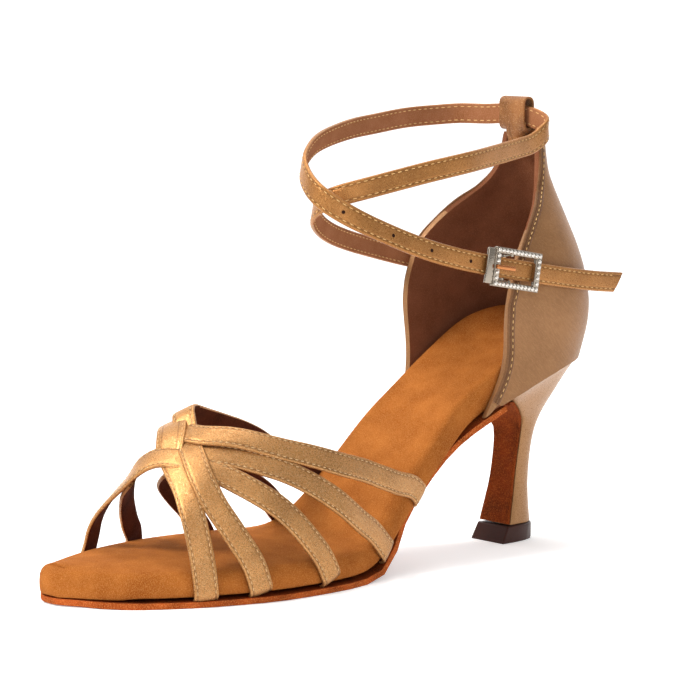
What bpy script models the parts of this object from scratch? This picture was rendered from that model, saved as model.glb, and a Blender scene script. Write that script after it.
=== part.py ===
"""Left ballroom sandal with a woven five-strap vamp, a high counter and a crossed ankle strap.

Lengths are in millimetres until a mesh is made. X points to the outer (lateral) side, Y to
the heel and Z up. The floor is Z = 0, and the origin is the centre of the heel's floor face.
"""

import math

import bmesh
import bpy
from mathutils import Vector

MM = 0.001

# Driving sizes
SHOE_LENGTH = 224.5
BALL_WIDTH = 74.2
SEAT_WIDTH = 49.0
HEEL_HEIGHT = 75.0
HEEL_SETBACK = 28.5
INSOLE_THICKNESS = 9.0
INSOLE_EDGE_ROUND = 4.5
INSOLE_CROWN = 0.14
OUTSOLE_THICKNESS = 2.2
OUTSOLE_LIP = 0.9
WAIST_INSET = 3.2
TOE_INSET = 1.6
GAP = 0.3
SEAT_SPACE = 1.9
BACK_SPACE = 1.8
SOLE_SPACE = 0.42
EDGE_SPACE = 2.25
STRAP_FOOT = 2.2
FOOT_SPAN = 12.0

COUNTER_DEPTH = 30.0
COUNTER_WALL = 1.8
COUNTER_TOP = 145.0
BINDING_WIDTH = 3.0
BINDING_RISE = 0.3

TIP_WIDTH = 17.2
TIP_DEPTH = 19.3
TIP_HEIGHT = 6.0
NECK_WIDTH = 12.0
NECK_DEPTH = 11.2
HEEL_BREAST = 20.0
BREAST_COVER = 1.2

CREST_HEIGHT = 66.0
STRAP_WIDTH = 8.2
KEEPER_WIDTH = 11.0
STRAP_THICKNESS = 1.5
WEAVE_STEP = 0.9

ANKLE_WIDTH = 62.0
ANKLE_LENGTH = 108.0
ANKLE_STRAP_WIDTH = 7.2
ANKLE_STRAP_THICKNESS = 1.6
FREE_END_SLANT = -2.2
ANKLE_LEAN = 12.0
LOOP_WIDTH = 13.0
LOOP_DEPTH = 5.2
LOOP_HEIGHT = 12.0
LOOP_WALL = 0.9
LOOP_TAIL_WIDTH = 6.4
LOOP_TAIL_SPACE = 1.2
LOOP_TAIL = 6.6

BUCKLE_LENGTH = 22.4
BUCKLE_HEIGHT = 13.6
BUCKLE_BORDER = 2.6
BUCKLE_SIDE = 2.1
BUCKLE_CORNER = 1.6
BUCKLE_THICKNESS = 2.0
BUCKLE_CLEARANCE = 0.35
BAR_WIDTH = 1.2
BAR_PLACE = 0.13
RAIL_WIDTH = 3.4
PRONG_WIDTH = 1.6
BUCKLE_BACK = 23.0
TAB_WIDTH = 6.0
TAB_THICKNESS = 0.6
TAB_LENGTH = 9.0

# Sizes that follow from the driving ones
SEAT_HEIGHT = HEEL_HEIGHT - INSOLE_THICKNESS
TOE_Y = HEEL_SETBACK - SHOE_LENGTH
FOREFOOT_Z = OUTSOLE_THICKNESS + GAP
SEAT_RISE = SEAT_HEIGHT - FOREFOOT_Z

# Sole, a row for each station from the toe (0) to the back of the seat (1). Middle and half
# are shares of half the ball width, which narrows to half the seat width, rise and cant are
# shares of the seat's rise, and cup is a share of the insole's thickness.
SOLE = (
    ("along", "middle", "half"),
    (0, -0.13, 0),
    (0.022, -0.135, 0.27),
    (0.048, -0.06, 0.43),
    (0.102, -0.02, 0.663),
    (0.186, 0.003, 0.881),
    (0.291, 0.032, 1),
    (0.395, 0.054, 0.96),
    (0.501, 0.082, 0.847),
    (0.606, 0.058, 0.765),
    (0.71, 0.015, 0.876),
    (0.793, -0.01, 0.953),
    (0.877, -0.03, 1),
    (0.954, -0.038, 0.8),
    (0.995, -0.03, 0.41),
    (1, -0.03, 0),
)
PROFILE = (
    ("along", "rise", "cant", "cup"),
    (0, 0.008, 0, 0),
    (0.105, 0, 0, 0),
    (0.205, 0, 0, 0),
    (0.305, 0, 0, 0),
    (0.445, 0, 0, 0),
    (0.482, 0.014, 0, 0),
    (0.52, 0.094, 0.005, 0),
    (0.591, 0.312, 0.016, 0.1),
    (0.666, 0.54, 0.03, 0.15),
    (0.733, 0.704, 0.038, 0.19),
    (0.784, 0.792, 0.042, 0.25),
    (0.846, 0.883, 0.04, 0.46),
    (0.917, 0.966, 0.03, 0.74),
    (1, 1, 0, 0.84),
)
# Counter, a row for each level from the seat (0) to the top of its tab (1). Half is a share of
# half the seat width, and bend, back and the two front edges are shares of its depth.
COUNTER = (
    ("level", "half", "middle", "bend", "back", "lateral", "medial"),
    (-0.25, 0.94, -0.02, 0.93, 0.92, -1.03, -1.06),
    (0, 0.97, -0.04, 0.93, 0.93, -0.71, -0.92),
    (0.07, 0.99, -0.05, 0.93, 1.005, -0.69, -0.915),
    (0.17, 1.03, -0.06, 0.93, 1.07, -0.705, -0.92),
    (0.25, 1.06, -0.06, 0.93, 1.065, -0.715, -0.915),
    (0.32, 1.06, -0.06, 0.93, 1.032, -0.67, -0.89),
    (0.41, 1.03, -0.06, 0.9, 0.972, -0.62, -0.83),
    (0.52, 0.97, -0.06, 0.83, 0.854, -0.465, -0.715),
    (0.6, 0.86, -0.06, 0.73, 0.763, -0.29, -0.54),
    (0.69, 0.68, -0.06, 0.57, 0.676, -0.055, -0.31),
    (0.75, 0.52, -0.06, 0.43, 0.628, 0.09, -0.09),
    (0.83, 0.42, -0.06, 0.32, 0.55, 0.19, 0.11),
    (0.93, 0.36, -0.06, 0.28, 0.525, 0.24, 0.2),
    (1, 0.31, -0.06, 0.25, 0.52, 0.25, 0.2),
)
# Heel, a row for each section from above the tip (0) to the seat (1). Front and back heights
# are shares of the breast's and the seat's height. Half is a share of half the neck width,
# and the front and back reaches are shares of the neck depth.
HEEL = (
    ("level", "front_z", "back_z", "half", "front", "back"),
    (0, 0, 0, 1.28, -0.46, 0.82),
    (0.1, 0.1, 0.08, 1.2, -0.37, 0.77),
    (0.22, 0.25, 0.2, 1.08, -0.22, 0.73),
    (0.34, 0.4, 0.31, 1, -0.11, 0.76),
    (0.46, 0.57, 0.455, 1.02, 0, 0.85),
    (0.57, 0.71, 0.575, 1.12, 0.06, 1.02),
    (0.67, 0.8, 0.675, 1.4, -0.02, 1.29),
    (0.77, 0.875, 0.77, 1.95, -0.32, 1.7),
    (0.86, 0.935, 0.862, 2.7, -0.88, 2.22),
    (0.93, 0.976, 0.93, 3.36, -1.36, 2.52),
    (1, 1, 1, 3.92, -1.78, 2.64),
)
# Foot form under the vamp: the crest's height as a share of the crest height at the ball
CREST = (
    ("along", "rise"),
    (0, 0.3),
    (0.072, 0.42),
    (0.152, 0.6),
    (0.201, 0.77),
    (0.241, 0.865),
    (0.272, 0.917),
    (0.338, 1),
    (0.425, 1.12),
    (0.516, 1.27),
    (0.606, 1.48),
    (0.706, 1.75),
)
# Straps on the foot form, from the lateral foot (0 degrees) over the crest (90): each row is
# the angle, the place along the sole, and the level in the weave.
FORM_STRAPS = {
    "lateral_1": (
        (0, 0.165, 0), (20, 0.163, 0), (40, 0.166, -0.3), (55, 0.172, -1.2), (66, 0.176, -1.7),
        (76, 0.183, -1.8),
    ),
    "lateral_2": (
        (0, 0.244, 0), (10, 0.233, 0), (21, 0.213, 0), (36, 0.196, 0), (51, 0.194, -0.1),
        (61, 0.199, -0.5), (69, 0.205, -1.2), (75, 0.21, -1.8), (81, 0.215, -2.2),
    ),
    "lateral_3": (
        (0, 0.369, 0), (7, 0.352, 0), (16, 0.321, 0), (26, 0.283, 0), (33, 0.257, -0.5),
        (41, 0.234, -1.3), (50, 0.215, -1.9), (58, 0.198, -1.9),
    ),
    "lateral_4": (
        (0, 0.504, 0), (8, 0.472, 0), (16, 0.421, 0), (27, 0.36, 0), (36, 0.313, -0.3),
        (43, 0.277, -0.9), (51, 0.247, -1.7), (58, 0.225, -1.9), (66, 0.204, -1.9),
    ),
    "lateral_5": (
        (0, 0.59, 0), (4.5, 0.576, 0), (12.5, 0.54, 0), (23, 0.48, 0), (31, 0.41, 0), (40, 0.346, 0),
        (47, 0.305, 0), (54, 0.275, 0), (60, 0.254, 0), (67, 0.232, 0), (73, 0.222, -0.3),
        (82, 0.218, -1.3), (90, 0.216, -2.2),
    ),
    "keeper": (
        (78, 0.18, -2.8), (79, 0.187, -1.5), (81.5, 0.198, -0.4), (85.5, 0.211, 0.1),
        (89, 0.221, -0.1), (92, 0.231, -1.8),
    ),
}
# Straps that leave the knot for the medial side: each row is the place across as a share of
# half the ball width, along the sole, above the feather line as a share of the crest height,
# and the lean of the strap's face in degrees (0 medial, 90 up).
MEDIAL_STRAPS = {
    "crown": (
        (0.404, 0.207, 0.62, 110), (0.325, 0.199, 0.639, 107), (0.235, 0.19, 0.647, 105),
        (0.09, 0.183, 0.645, 98), (-0.05, 0.172, 0.615, 92), (-0.125, 0.163, 0.575, 86),
        (-0.26, 0.16, 0.5, 68), (-0.48, 0.158, 0.405, 52), (-0.68, 0.159, 0.305, 38),
        (-0.785, 0.161, 0.22, 20), (-0.825, 0.163, 0.14, 8), (-0.845, 0.163, 0.03, 0),
    ),
    "medial_2": (
        (-0.2, 0.168, 0.525, 72), (-0.36, 0.175, 0.465, 55), (-0.45, 0.184, 0.43, 42),
        (-0.6, 0.2, 0.37, 28), (-0.74, 0.218, 0.3, 18), (-0.86, 0.238, 0.21, 8),
        (-0.93, 0.256, 0.14, 2), (-0.965, 0.265, 0.03, 0),
    ),
    "medial_3": (
        (0.256, 0.203, 0.656, 103), (0.108, 0.207, 0.61, 95), (-0.04, 0.212, 0.56, 82),
        (-0.3, 0.237, 0.483, 58), (-0.515, 0.28, 0.38, 36), (-0.68, 0.321, 0.288, 20),
        (-0.885, 0.365, 0.18, 8), (-0.93, 0.389, 0.1, 2), (-0.94, 0.395, 0.03, 0),
    ),
    "medial_4": (
        (0.216, 0.221, 0.703, 96), (0.121, 0.243, 0.645, 88), (-0.02, 0.293, 0.545, 74),
        (-0.15, 0.346, 0.485, 54), (-0.34, 0.411, 0.385, 34), (-0.53, 0.463, 0.28, 20),
        (-0.67, 0.503, 0.13, 6), (-0.7, 0.513, 0.03, 0),
    ),
    "medial_5": (
        (0.162, 0.216, 0.718, 92), (0.094, 0.2258, 0.7515, 92), (0.008, 0.2325, 0.809, 90),
        (-0.095, 0.244, 0.85, 80), (-0.185, 0.281, 0.805, 56), (-0.3, 0.339, 0.735, 36),
        (-0.39, 0.392, 0.67, 24), (-0.475, 0.441, 0.59, 16), (-0.545, 0.5, 0.44, 10),
        (-0.565, 0.549, 0.26, 5), (-0.55, 0.598, 0.05, 0),
    ),
}
# Ankle strap route, from its medial end over the front, round the back and down to its free
# end. Across and along are shares of the ring's width and length, level is a share of the
# counter's top height.
ANKLE_ROUTE = (
    (-0.471, -0.093, 0.679), (-0.484, -0.157, 0.686), (-0.456, -0.292, 0.708), (-0.29, -0.557, 0.754),
    (-0.145, -0.715, 0.79), (-0.016, -0.814, 0.827), (0.065, -0.844, 0.848), (0.161, -0.854, 0.867),
    (0.258, -0.833, 0.882), (0.331, -0.773, 0.896), (0.426, -0.58, 0.928), (0.435, -0.436, 0.944),
    (0.4, -0.327, 0.953), (0.258, -0.088, 0.97), (0.21, 0.004, 0.981), (0.174, 0.08, 1.014),
    (0.056, 0.074, 1.037), (-0.161, 0.069, 1.044), (-0.274, 0.052, 1.041), (-0.419, 0, 1.042),
    (-0.476, -0.06, 1.039), (-0.497, -0.196, 1.034), (-0.432, -0.371, 1.023), (-0.331, -0.524, 1.015),
    (-0.194, -0.692, 0.998), (-0.089, -0.791, 0.98), (0.016, -0.87, 0.951), (0.081, -0.896, 0.926),
    (0.21, -0.918, 0.893), (0.331, -0.896, 0.859), (0.419, -0.803, 0.816), (0.456, -0.577, 0.751),
    (0.444, -0.316, 0.704), (0.411, 0.086, 0.652), (0.377, 0.286, 0.634),
)
SOLE_STATIONS = 30
COUNTER_LEVELS = 20
COUNTER_SPAN = 13
HEEL_STATIONS = 15
HEEL_SIDES = 11
STRAP_STEP = 4.0
ANKLE_STEP = 4.5
FREE_END_STATIONS = 12
CRUMB_CORNERS = 16
CORNER_STEPS = 3
SOLE_LEAST_HALF = 3.0
FOOT_CENTRE = -4.0

COLOURS = {
    "satin": (0.48, 0.27, 0.12),
    "suede": (0.55, 0.2, 0.04),
    "dark_suede": (0.3, 0.08, 0.02),
    "plastic": (0.06, 0.025, 0.02),
    "silver": (0.8, 0.8, 0.8),
}


def slopes(xs, ys):
    """Slopes at the knots that keep a cubic from overshooting its rows."""
    steps = [(ys[i + 1] - ys[i]) / (xs[i + 1] - xs[i]) for i in range(len(xs) - 1)]
    found = [steps[0]]
    for before, after in zip(steps, steps[1:]):
        mean = 2 * before * after / (before + after) if before * after > 0 else 0.0
        found.append(mean)
    found.append(steps[-1])
    return found


def smooth(xs, ys, x):
    """The value at x on a smooth curve through the rows."""
    x = min(max(x, xs[0]), xs[-1])
    i = max(k for k in range(len(xs) - 1) if xs[k] <= x)
    ends = slopes(xs, ys)
    h = xs[i + 1] - xs[i]
    t = (x - xs[i]) / h
    return (
        ys[i] * (1 + 2 * t) * (1 - t) ** 2
        + ends[i] * h * t * (1 - t) ** 2
        + ys[i + 1] * t * t * (3 - 2 * t)
        - ends[i + 1] * h * t * t * (1 - t)
    )


def columns(table, *names):
    """The named columns of a table, whose first row holds the names."""
    return [[row[table[0].index(name)] for row in table[1:]] for name in names]


def read(table, column, at):
    """A column's value where the table's first column has the given value."""
    return smooth(*columns(table, table[0][0], column), at)


def ease(x, low, high):
    t = min(max((x - low) / (high - low), 0.0), 1.0)
    return t * t * (3 - 2 * t)


def along_y(share):
    return TOE_Y + SHOE_LENGTH * share


def share_of(y):
    return min(max((y - TOE_Y) / SHOE_LENGTH, 0.0), 1.0)


def middle_at(share):
    return BALL_WIDTH / 2 * read(SOLE, "middle", share)


def half_at(share):
    """Half the sole's width. The square is what is smoothed, so both ends close round."""
    local = BALL_WIDTH + (SEAT_WIDTH - BALL_WIDTH) * min(max((share - 0.4) / 0.3, 0.0), 1.0)
    along, halves = columns(SOLE, "along", "half")
    squares = [half * half for half in halves]
    return local / 2 * math.sqrt(max(smooth(along, squares, share), 0.0))


def feather_z(share, side=1.0):
    """Height of the feather line, where side is 1 on the lateral edge and -1 on the medial."""
    rise = read(PROFILE, "rise", share)
    cant = read(PROFILE, "cant", share)
    return FOREFOOT_Z + SEAT_RISE * (rise + cant * (1 - side) / 2)


def profile_normal(share):
    step = 0.004
    low, high = max(share - step, 0.0), min(share + step, 1.0)
    run = SHOE_LENGTH * (high - low)
    climb = feather_z(high) - feather_z(low)
    return Vector((0, -climb, run)).normalized()


def sole_point(share, side, inset, lift):
    """A point on an outline drawn inward by the inset and raised square to the profile."""
    edge = math.sqrt(max(1 - (inset / half_at(0.286)) * 0.5, 0.1))
    inner = inset / SHOE_LENGTH
    near = inner + (1 - 2 * inner) * share
    half = max(half_at(near) - inset * (0.25 + 0.75 * edge), 0.35 + 0.02 * half_at(near))
    base = Vector((middle_at(near) + side * half, along_y(near), feather_z(near, side)))
    return base + profile_normal(near) * lift


def stations(count):
    """Shares from end to end, close together near both ends."""
    return [(1 - math.cos(math.pi * (i + 0.5) / count)) / 2 for i in range(count)]


def ring(bm, points):
    return [bm.verts.new(Vector(p) * MM) for p in points]


def bridge(bm, first, second, closed=True):
    count = len(first)
    for i in range(count if closed else count - 1):
        j = (i + 1) % count
        bm.faces.new((first[i], first[j], second[j], second[i]))


def finish(name, bm, colour, roughness, metallic=0.0):
    """Makes the mesh an object of its own, facing outwards, with its material."""
    bmesh.ops.remove_doubles(bm, verts=bm.verts, dist=1e-7)
    bmesh.ops.recalc_face_normals(bm, faces=bm.faces)
    mesh = bpy.data.meshes.new(name)
    bm.to_mesh(mesh)
    bm.free()
    mesh.shade_smooth()
    mesh.set_sharp_from_angle(angle=math.radians(40))
    material = bpy.data.materials.new(name)
    material.use_nodes = True
    shader = material.node_tree.nodes["Principled BSDF"]
    shader.inputs["Base Color"].default_value = (*COLOURS[colour], 1)
    shader.inputs["Roughness"].default_value = roughness
    shader.inputs["Metallic"].default_value = metallic
    mesh.materials.append(material)
    piece = bpy.data.objects.new(name, mesh)
    bpy.context.scene.collection.objects.link(piece)
    return piece


def boolean(piece, other, operation):
    modifier = piece.modifiers.new(other.name, "BOOLEAN")
    modifier.operation = operation
    modifier.object = other
    modifier.solver = "EXACT"
    other.hide_render = True
    other.display_type = "WIRE"


def sole_ring(inset_of, lift_of, shares):
    """One closed loop round the sole: up the lateral side and back down the medial one."""
    sides = [(share, 1) for share in shares] + [(share, -1) for share in reversed(shares)]
    return [sole_point(s, side, inset_of(s), lift_of(s)) for s, side in sides]


def close_deck(bm, loop, dish=None):
    """Closes a sole ring across, with a hollow middle where a dish depth is given."""
    count = len(loop) // 2
    lateral, medial = loop[:count], list(reversed(loop[count:]))
    if dish is None:
        bridge(bm, lateral, medial, closed=False)
        return
    rows = [lateral]
    for part in (0.22, 0.5, 0.78):
        row = []
        for i in range(count):
            place = lateral[i].co.lerp(medial[i].co, part)
            depth = dish[i] * 4 * part * (1 - part) * MM
            row.append(bm.verts.new(place - Vector((0, 0, depth))))
        rows.append(row)
    rows.append(medial)
    for first, second in zip(rows, rows[1:]):
        bridge(bm, first, second, closed=False)
    for end in (0, -1):
        bm.faces.new([row[end] for row in rows])


def make_insole():
    """Board, padding and sock in one body with a rolled edge, dished under the heel."""
    bm = bmesh.new()
    shares = stations(SOLE_STATIONS)

    def wall(share):
        return (COUNTER_WALL + SEAT_SPACE) * ease(share, 0.66, 0.72) + BACK_SPACE * ease(share, 0.85, 0.95)

    def top(share):
        return INSOLE_THICKNESS * (1 + read(PROFILE, "cup", share))

    def roll(share):
        return INSOLE_EDGE_ROUND * (1 - 0.6 * ease(share, 0.55, 0.75))

    rings = []
    for inset, lift in ((1.2, 0.0), (0.3, 1.2)):
        rings.append(sole_ring(lambda s: wall(s) + inset, lambda s: lift, shares))
    for degrees in (0, 30, 60, 90):
        turn = math.radians(degrees)
        rings.append(sole_ring(
            lambda s: wall(s) + roll(s) * (1 - math.cos(turn)),
            lambda s: top(s) - roll(s) * (1 - math.sin(turn)),
            shares,
        ))
    loops = [ring(bm, points) for points in rings]
    for low, high in zip(loops, loops[1:]):
        bridge(bm, low, high)
    close_deck(bm, loops[0])
    dish = [INSOLE_THICKNESS * (read(PROFILE, "cup", s) - INSOLE_CROWN) for s in shares]
    close_deck(bm, loops[-1], dish)
    return finish("insole", bm, "suede", 0.9)


def make_outsole():
    """Thin suede sole from the toe to the heel's breast, with a raw edge that stands proud."""
    bm = bmesh.new()
    last = share_of(-HEEL_BREAST - 2 * GAP)
    shares = [s * last for s in stations(SOLE_STATIONS)]

    def inset(share):
        waist = ease(share, 0.5, 0.59) * (1 - ease(share, 0.66, 0.76))
        return OUTSOLE_LIP * (2 * ease(share, 0.5, 0.59) - 1) + WAIST_INSET * waist

    def place(share, side, lift):
        half = max(half_at(share) - inset(share), SOLE_LEAST_HALF)
        toe = TOE_INSET * (1 - ease(share, 0, 0.06))
        low = feather_z(share, side) - SOLE_SPACE
        base = Vector((middle_at(share) + side * half, along_y(share) + toe, low))
        point = base + profile_normal(share) * lift
        if 0.1 < share < 0.44 and lift < 0:
            point.z = 0.0
        return point

    loops = []
    for lift in (0.0, -OUTSOLE_THICKNESS):
        points = [place(s, 1, lift) for s in shares] + [place(s, -1, lift) for s in reversed(shares)]
        loops.append(ring(bm, points))
    bridge(bm, loops[0], loops[1])
    close_deck(bm, loops[0])
    close_deck(bm, loops[1])
    return finish("outsole", bm, "suede", 0.95)


def counter_section(level, side):
    """Points from the back of the cup at one level to its front edge on one side."""
    scale = COUNTER_DEPTH
    half = SEAT_WIDTH / 2 * read(COUNTER, "half", level)
    middle = SEAT_WIDTH / 2 * read(COUNTER, "middle", level)
    back = scale * read(COUNTER, "back", level)
    depth = scale * read(COUNTER, "bend", level)
    edge = scale * read(COUNTER, "lateral" if side > 0 else "medial", level)
    points = []
    for i in range(41):
        y = back - (back - edge) * (1 - math.cos(math.pi * i / 80))
        if y > back - depth:
            x = half * math.sqrt(max(1 - ((y - back + depth) / depth) ** 2, 0.0))
        else:
            x = half * (1 - 0.08 * ((back - depth - y) / scale) ** 2)
        points.append(Vector((middle + side * x, y, 0)))
    return points


def at_length(points, length):
    """The point that lies this far along a run of points."""
    for a, b in zip(points, points[1:]):
        step = (b - a).length
        if length <= step:
            return a.lerp(b, length / step)
        length -= step
    return points[-1].copy()


def counter_level(z):
    return (z - SEAT_HEIGHT) / (COUNTER_TOP - SEAT_HEIGHT)


def counter_point(side, column, v):
    """A point of the outer wall. Column is -3 to -1 on the binding or a share to the back."""
    z = SEAT_HEIGHT + (COUNTER_TOP - SEAT_HEIGHT) * v
    place = None
    for _ in range(6):
        run = list(reversed(counter_section(counter_level(z), side)))
        total = sum((b - a).length for a, b in zip(run, run[1:]))
        first = min(BINDING_WIDTH + GAP, 0.3 * total)
        if column < 0:
            reach = {-3: 0.0, -2: first - GAP, -1: first}[column]
        else:
            reach = first + (total - first) * column
        place = at_length(run, reach)
        low = feather_z(share_of(place.y), side)
        z = low + (COUNTER_TOP - low) * v
    place.z = z
    return place


def make_counter():
    """The hollow cup round the heel, with its high back tab and a raised binding in front."""
    bm = bmesh.new()
    inner_columns = [i / COUNTER_SPAN for i in range(1, COUNTER_SPAN)]
    columns = [(1, -3), (1, -2), (1, -1)] + [(1, c) for c in inner_columns] + [(1, 1.0)]
    columns += [(-1, c) for c in reversed(inner_columns)] + [(-1, -1), (-1, -2), (-1, -3)]
    levels = [(i / COUNTER_LEVELS) ** 0.9 for i in range(COUNTER_LEVELS + 1)]
    grid = [[counter_point(side, column, v) for side, column in columns] for v in levels]
    outer, inner = [], []
    for i, row in enumerate(grid):
        outer_row, inner_row = [], []
        for j, point in enumerate(row):
            before, after = row[max(j - 1, 0)], row[min(j + 1, len(row) - 1)]
            under = grid[max(i - 1, 0)][j]
            above = grid[min(i + 1, len(grid) - 1)][j]
            along = after - before
            normal = along.cross(above - under)
            if normal.length < 1e-6:
                normal = along.cross(Vector((0, 0, 1)))
            normal.normalize()
            if normal.dot(point - Vector((0, 0, point.z))) < 0:
                normal.negate()
            raised = BINDING_RISE if columns[j][1] in (-3, -2) else 0.0
            outer_row.append(point + normal * raised)
            inner_row.append(point - normal * COUNTER_WALL)
        outer.append(ring(bm, outer_row))
        inner.append(ring(bm, inner_row))
    for i in range(len(grid) - 1):
        bridge(bm, outer[i], outer[i + 1], closed=False)
        bridge(bm, inner[i + 1], inner[i], closed=False)
        bm.faces.new((outer[i][0], outer[i + 1][0], inner[i + 1][0], inner[i][0]))
        bm.faces.new((outer[i + 1][-1], outer[i][-1], inner[i][-1], inner[i + 1][-1]))
    bridge(bm, outer[0], inner[0], closed=False)
    bridge(bm, outer[-1], inner[-1], closed=False)
    return finish("counter", bm, "satin", 0.5)


def heel_section(level):
    """One D-shaped loop of the heel: straight across the breast and round the back."""
    breast_z = feather_z(share_of(-HEEL_BREAST)) - GAP
    base = TIP_HEIGHT + GAP
    front_z = base + (breast_z - base) * read(HEEL, "front_z", level)
    back_z = base + (SEAT_HEIGHT - GAP - base) * read(HEEL, "back_z", level)
    half = NECK_WIDTH / 2 * read(HEEL, "half", level)
    front = NECK_DEPTH * read(HEEL, "front", level)
    back = NECK_DEPTH * read(HEEL, "back", level)
    middle = middle_at(0.871) * ease(level, 0.6, 1.0)
    points = []
    for i in range(HEEL_SIDES):
        turn = math.pi * i / (HEEL_SIDES - 1)
        x = half * math.copysign(abs(math.cos(turn)) ** 0.85, math.cos(turn))
        y = front + (back - front) * math.sin(turn) ** 0.9
        points.append(Vector((middle + x, y, 0)))
    for part in (-0.6, -0.2, 0.2, 0.6):
        points.append(Vector((middle + part * half, front, 0)))
    seat = ease(level, 0.75, 1.0)
    for point in points:
        t = (point.y - front) / (back - front)
        flat = front_z + (back_z - front_z) * t
        place = share_of(point.y)
        half_there = max(half_at(place), GAP)
        side = min(max((point.x - middle_at(place)) / half_there, -1.0), 1.0)
        below = (1 - level) * (SEAT_HEIGHT - base) * 0.35
        seated = feather_z(place, side) - GAP - below
        point.z = flat + (seated - flat) * seat
    return points


def make_heel():
    """The flared heel block, from above its tip to the seat."""
    bm = bmesh.new()
    levels = [i / (HEEL_STATIONS - 1) for i in range(HEEL_STATIONS)]
    loops = [ring(bm, heel_section(level)) for level in levels]
    for low, high in zip(loops, loops[1:]):
        bridge(bm, low, high)
    bm.faces.new(loops[0])
    top = bm.faces.new(loops[-1])
    bmesh.ops.triangulate(bm, faces=[top])
    return finish("heel", bm, "satin", 0.5)


def make_heel_tip():
    """The plastic top piece that wears on the floor, wider below than above."""
    bm = bmesh.new()
    loops = []
    upper = heel_section(0.0)
    for z, grow in ((TIP_HEIGHT, 0.35), (0.0, None)):
        points = []
        for point in upper:
            if grow is None:
                half = NECK_WIDTH / 2 * read(HEEL, "half", 0)
                front = NECK_DEPTH * read(HEEL, "front", 0)
                depth = NECK_DEPTH * read(HEEL, "back", 0) - front
                x = point.x / half * TIP_WIDTH / 2
                y = ((point.y - front) / depth - 0.5) * TIP_DEPTH
            else:
                x = point.x * (1 + grow / (NECK_WIDTH / 2))
                y = point.y + (grow if point.y > 0 else -GAP - BREAST_COVER)
            points.append((x, y, z))
        loops.append(ring(bm, points))
    bridge(bm, loops[0], loops[1])
    bm.faces.new(loops[0])
    bm.faces.new(loops[1])
    return finish("heel_tip", bm, "plastic", 0.45)


def make_breast_cover():
    """The suede flap that runs down the heel's breast from the end of the outsole."""
    bm = bmesh.new()
    levels = [0.004 + 0.95 * i / 13 for i in range(14)]
    rows = []
    for level in levels:
        points = heel_section(level)
        edge = points[0].x - middle_at(0.871) * ease(level, 0.6, 1.0)
        rows.append((points[0], edge, middle_at(0.871) * ease(level, 0.6, 1.0)))
    outer, inner = [], []
    for i, (point, edge, middle) in enumerate(rows):
        below, above = rows[max(i - 1, 0)][0], rows[min(i + 1, len(rows) - 1)][0]
        run = Vector((0, above.y - below.y, above.z - below.z)).normalized()
        normal = Vector((0, -run.z, run.y))
        for lift, store in ((GAP, inner), (GAP + BREAST_COVER, outer)):
            place = [Vector((middle + part * edge * 0.97, point.y, point.z)) + normal * lift
                     for part in (-1, -0.4, 0.4, 1)]
            store.append(ring(bm, place))
    for i in range(len(rows) - 1):
        bridge(bm, outer[i], outer[i + 1], closed=False)
        bridge(bm, inner[i + 1], inner[i], closed=False)
        bm.faces.new((outer[i][0], outer[i + 1][0], inner[i + 1][0], inner[i][0]))
        bm.faces.new((outer[i + 1][-1], outer[i][-1], inner[i][-1], inner[i + 1][-1]))
    bridge(bm, outer[0], inner[0], closed=False)
    bridge(bm, outer[-1], inner[-1], closed=False)
    return finish("heel_breast_cover", bm, "dark_suede", 0.95)


def crest_slope(share):
    """Angle at which the crest of the foot form climbs toward the heel."""
    run = 0.02
    climb = read(CREST, "rise", share + run) - read(CREST, "rise", share - run)
    return math.atan2(CREST_HEIGHT * climb, 2 * run * SHOE_LENGTH)


def form_point(degrees, share):
    """A point of the foot form that carries the vamp, from its lateral edge to its crest."""
    turn = math.radians(degrees)
    side = 1 if degrees <= 90 else -1
    reach = half_at(share) + side * (middle_at(share) - FOOT_CENTRE) + GAP + STRAP_THICKNESS / 2
    low = feather_z(share, side)
    crest = CREST_HEIGHT * read(CREST, "rise", share)
    x = FOOT_CENTRE + side * reach * abs(math.cos(turn)) ** 0.9
    z = low + (crest - low) * math.sin(turn) ** 0.9
    return Vector((x, along_y(share), z))


def form_normal(degrees, share):
    around = form_point(degrees + 2, share) - form_point(max(degrees - 2, 0), share)
    along = form_point(degrees, share + 0.01) - form_point(degrees, share - 0.01)
    return along.cross(around).normalized()


def form_route(rows):
    """Centres and outward normals of a strap that follows the foot form."""
    def step(a, b):
        return (form_point(a[0], a[1]) - form_point(b[0], b[1])).length / STRAP_STEP

    centres, normals = [], []
    for degrees, share, level in catmull(rows, step):
        degrees += STRAP_FOOT * max(1 - degrees / FOOT_SPAN, 0.0)
        normal = form_normal(degrees, share)
        centres.append(form_point(degrees, share) + normal * level * WEAVE_STEP)
        normals.append(normal)
    return centres, normals


def past_insole(share, rise):
    """How far across, on the medial side, a strap has to be to pass the insole's rolled edge."""
    edge = middle_at(share) - half_at(share)
    bend = rise - (INSOLE_THICKNESS - INSOLE_EDGE_ROUND)
    reach = INSOLE_EDGE_ROUND + EDGE_SPACE
    if bend >= reach:
        return BALL_WIDTH
    return edge + INSOLE_EDGE_ROUND - math.sqrt(reach ** 2 - max(bend, 0.0) ** 2)


def edge_turn(share):
    """Angle in plan between the sole's medial edge and the shoe's length."""
    step = 0.02
    low, high = (middle_at(s) - half_at(s) for s in (share - step, share + step))
    return math.atan2(high - low, 2 * step * SHOE_LENGTH)


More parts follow.
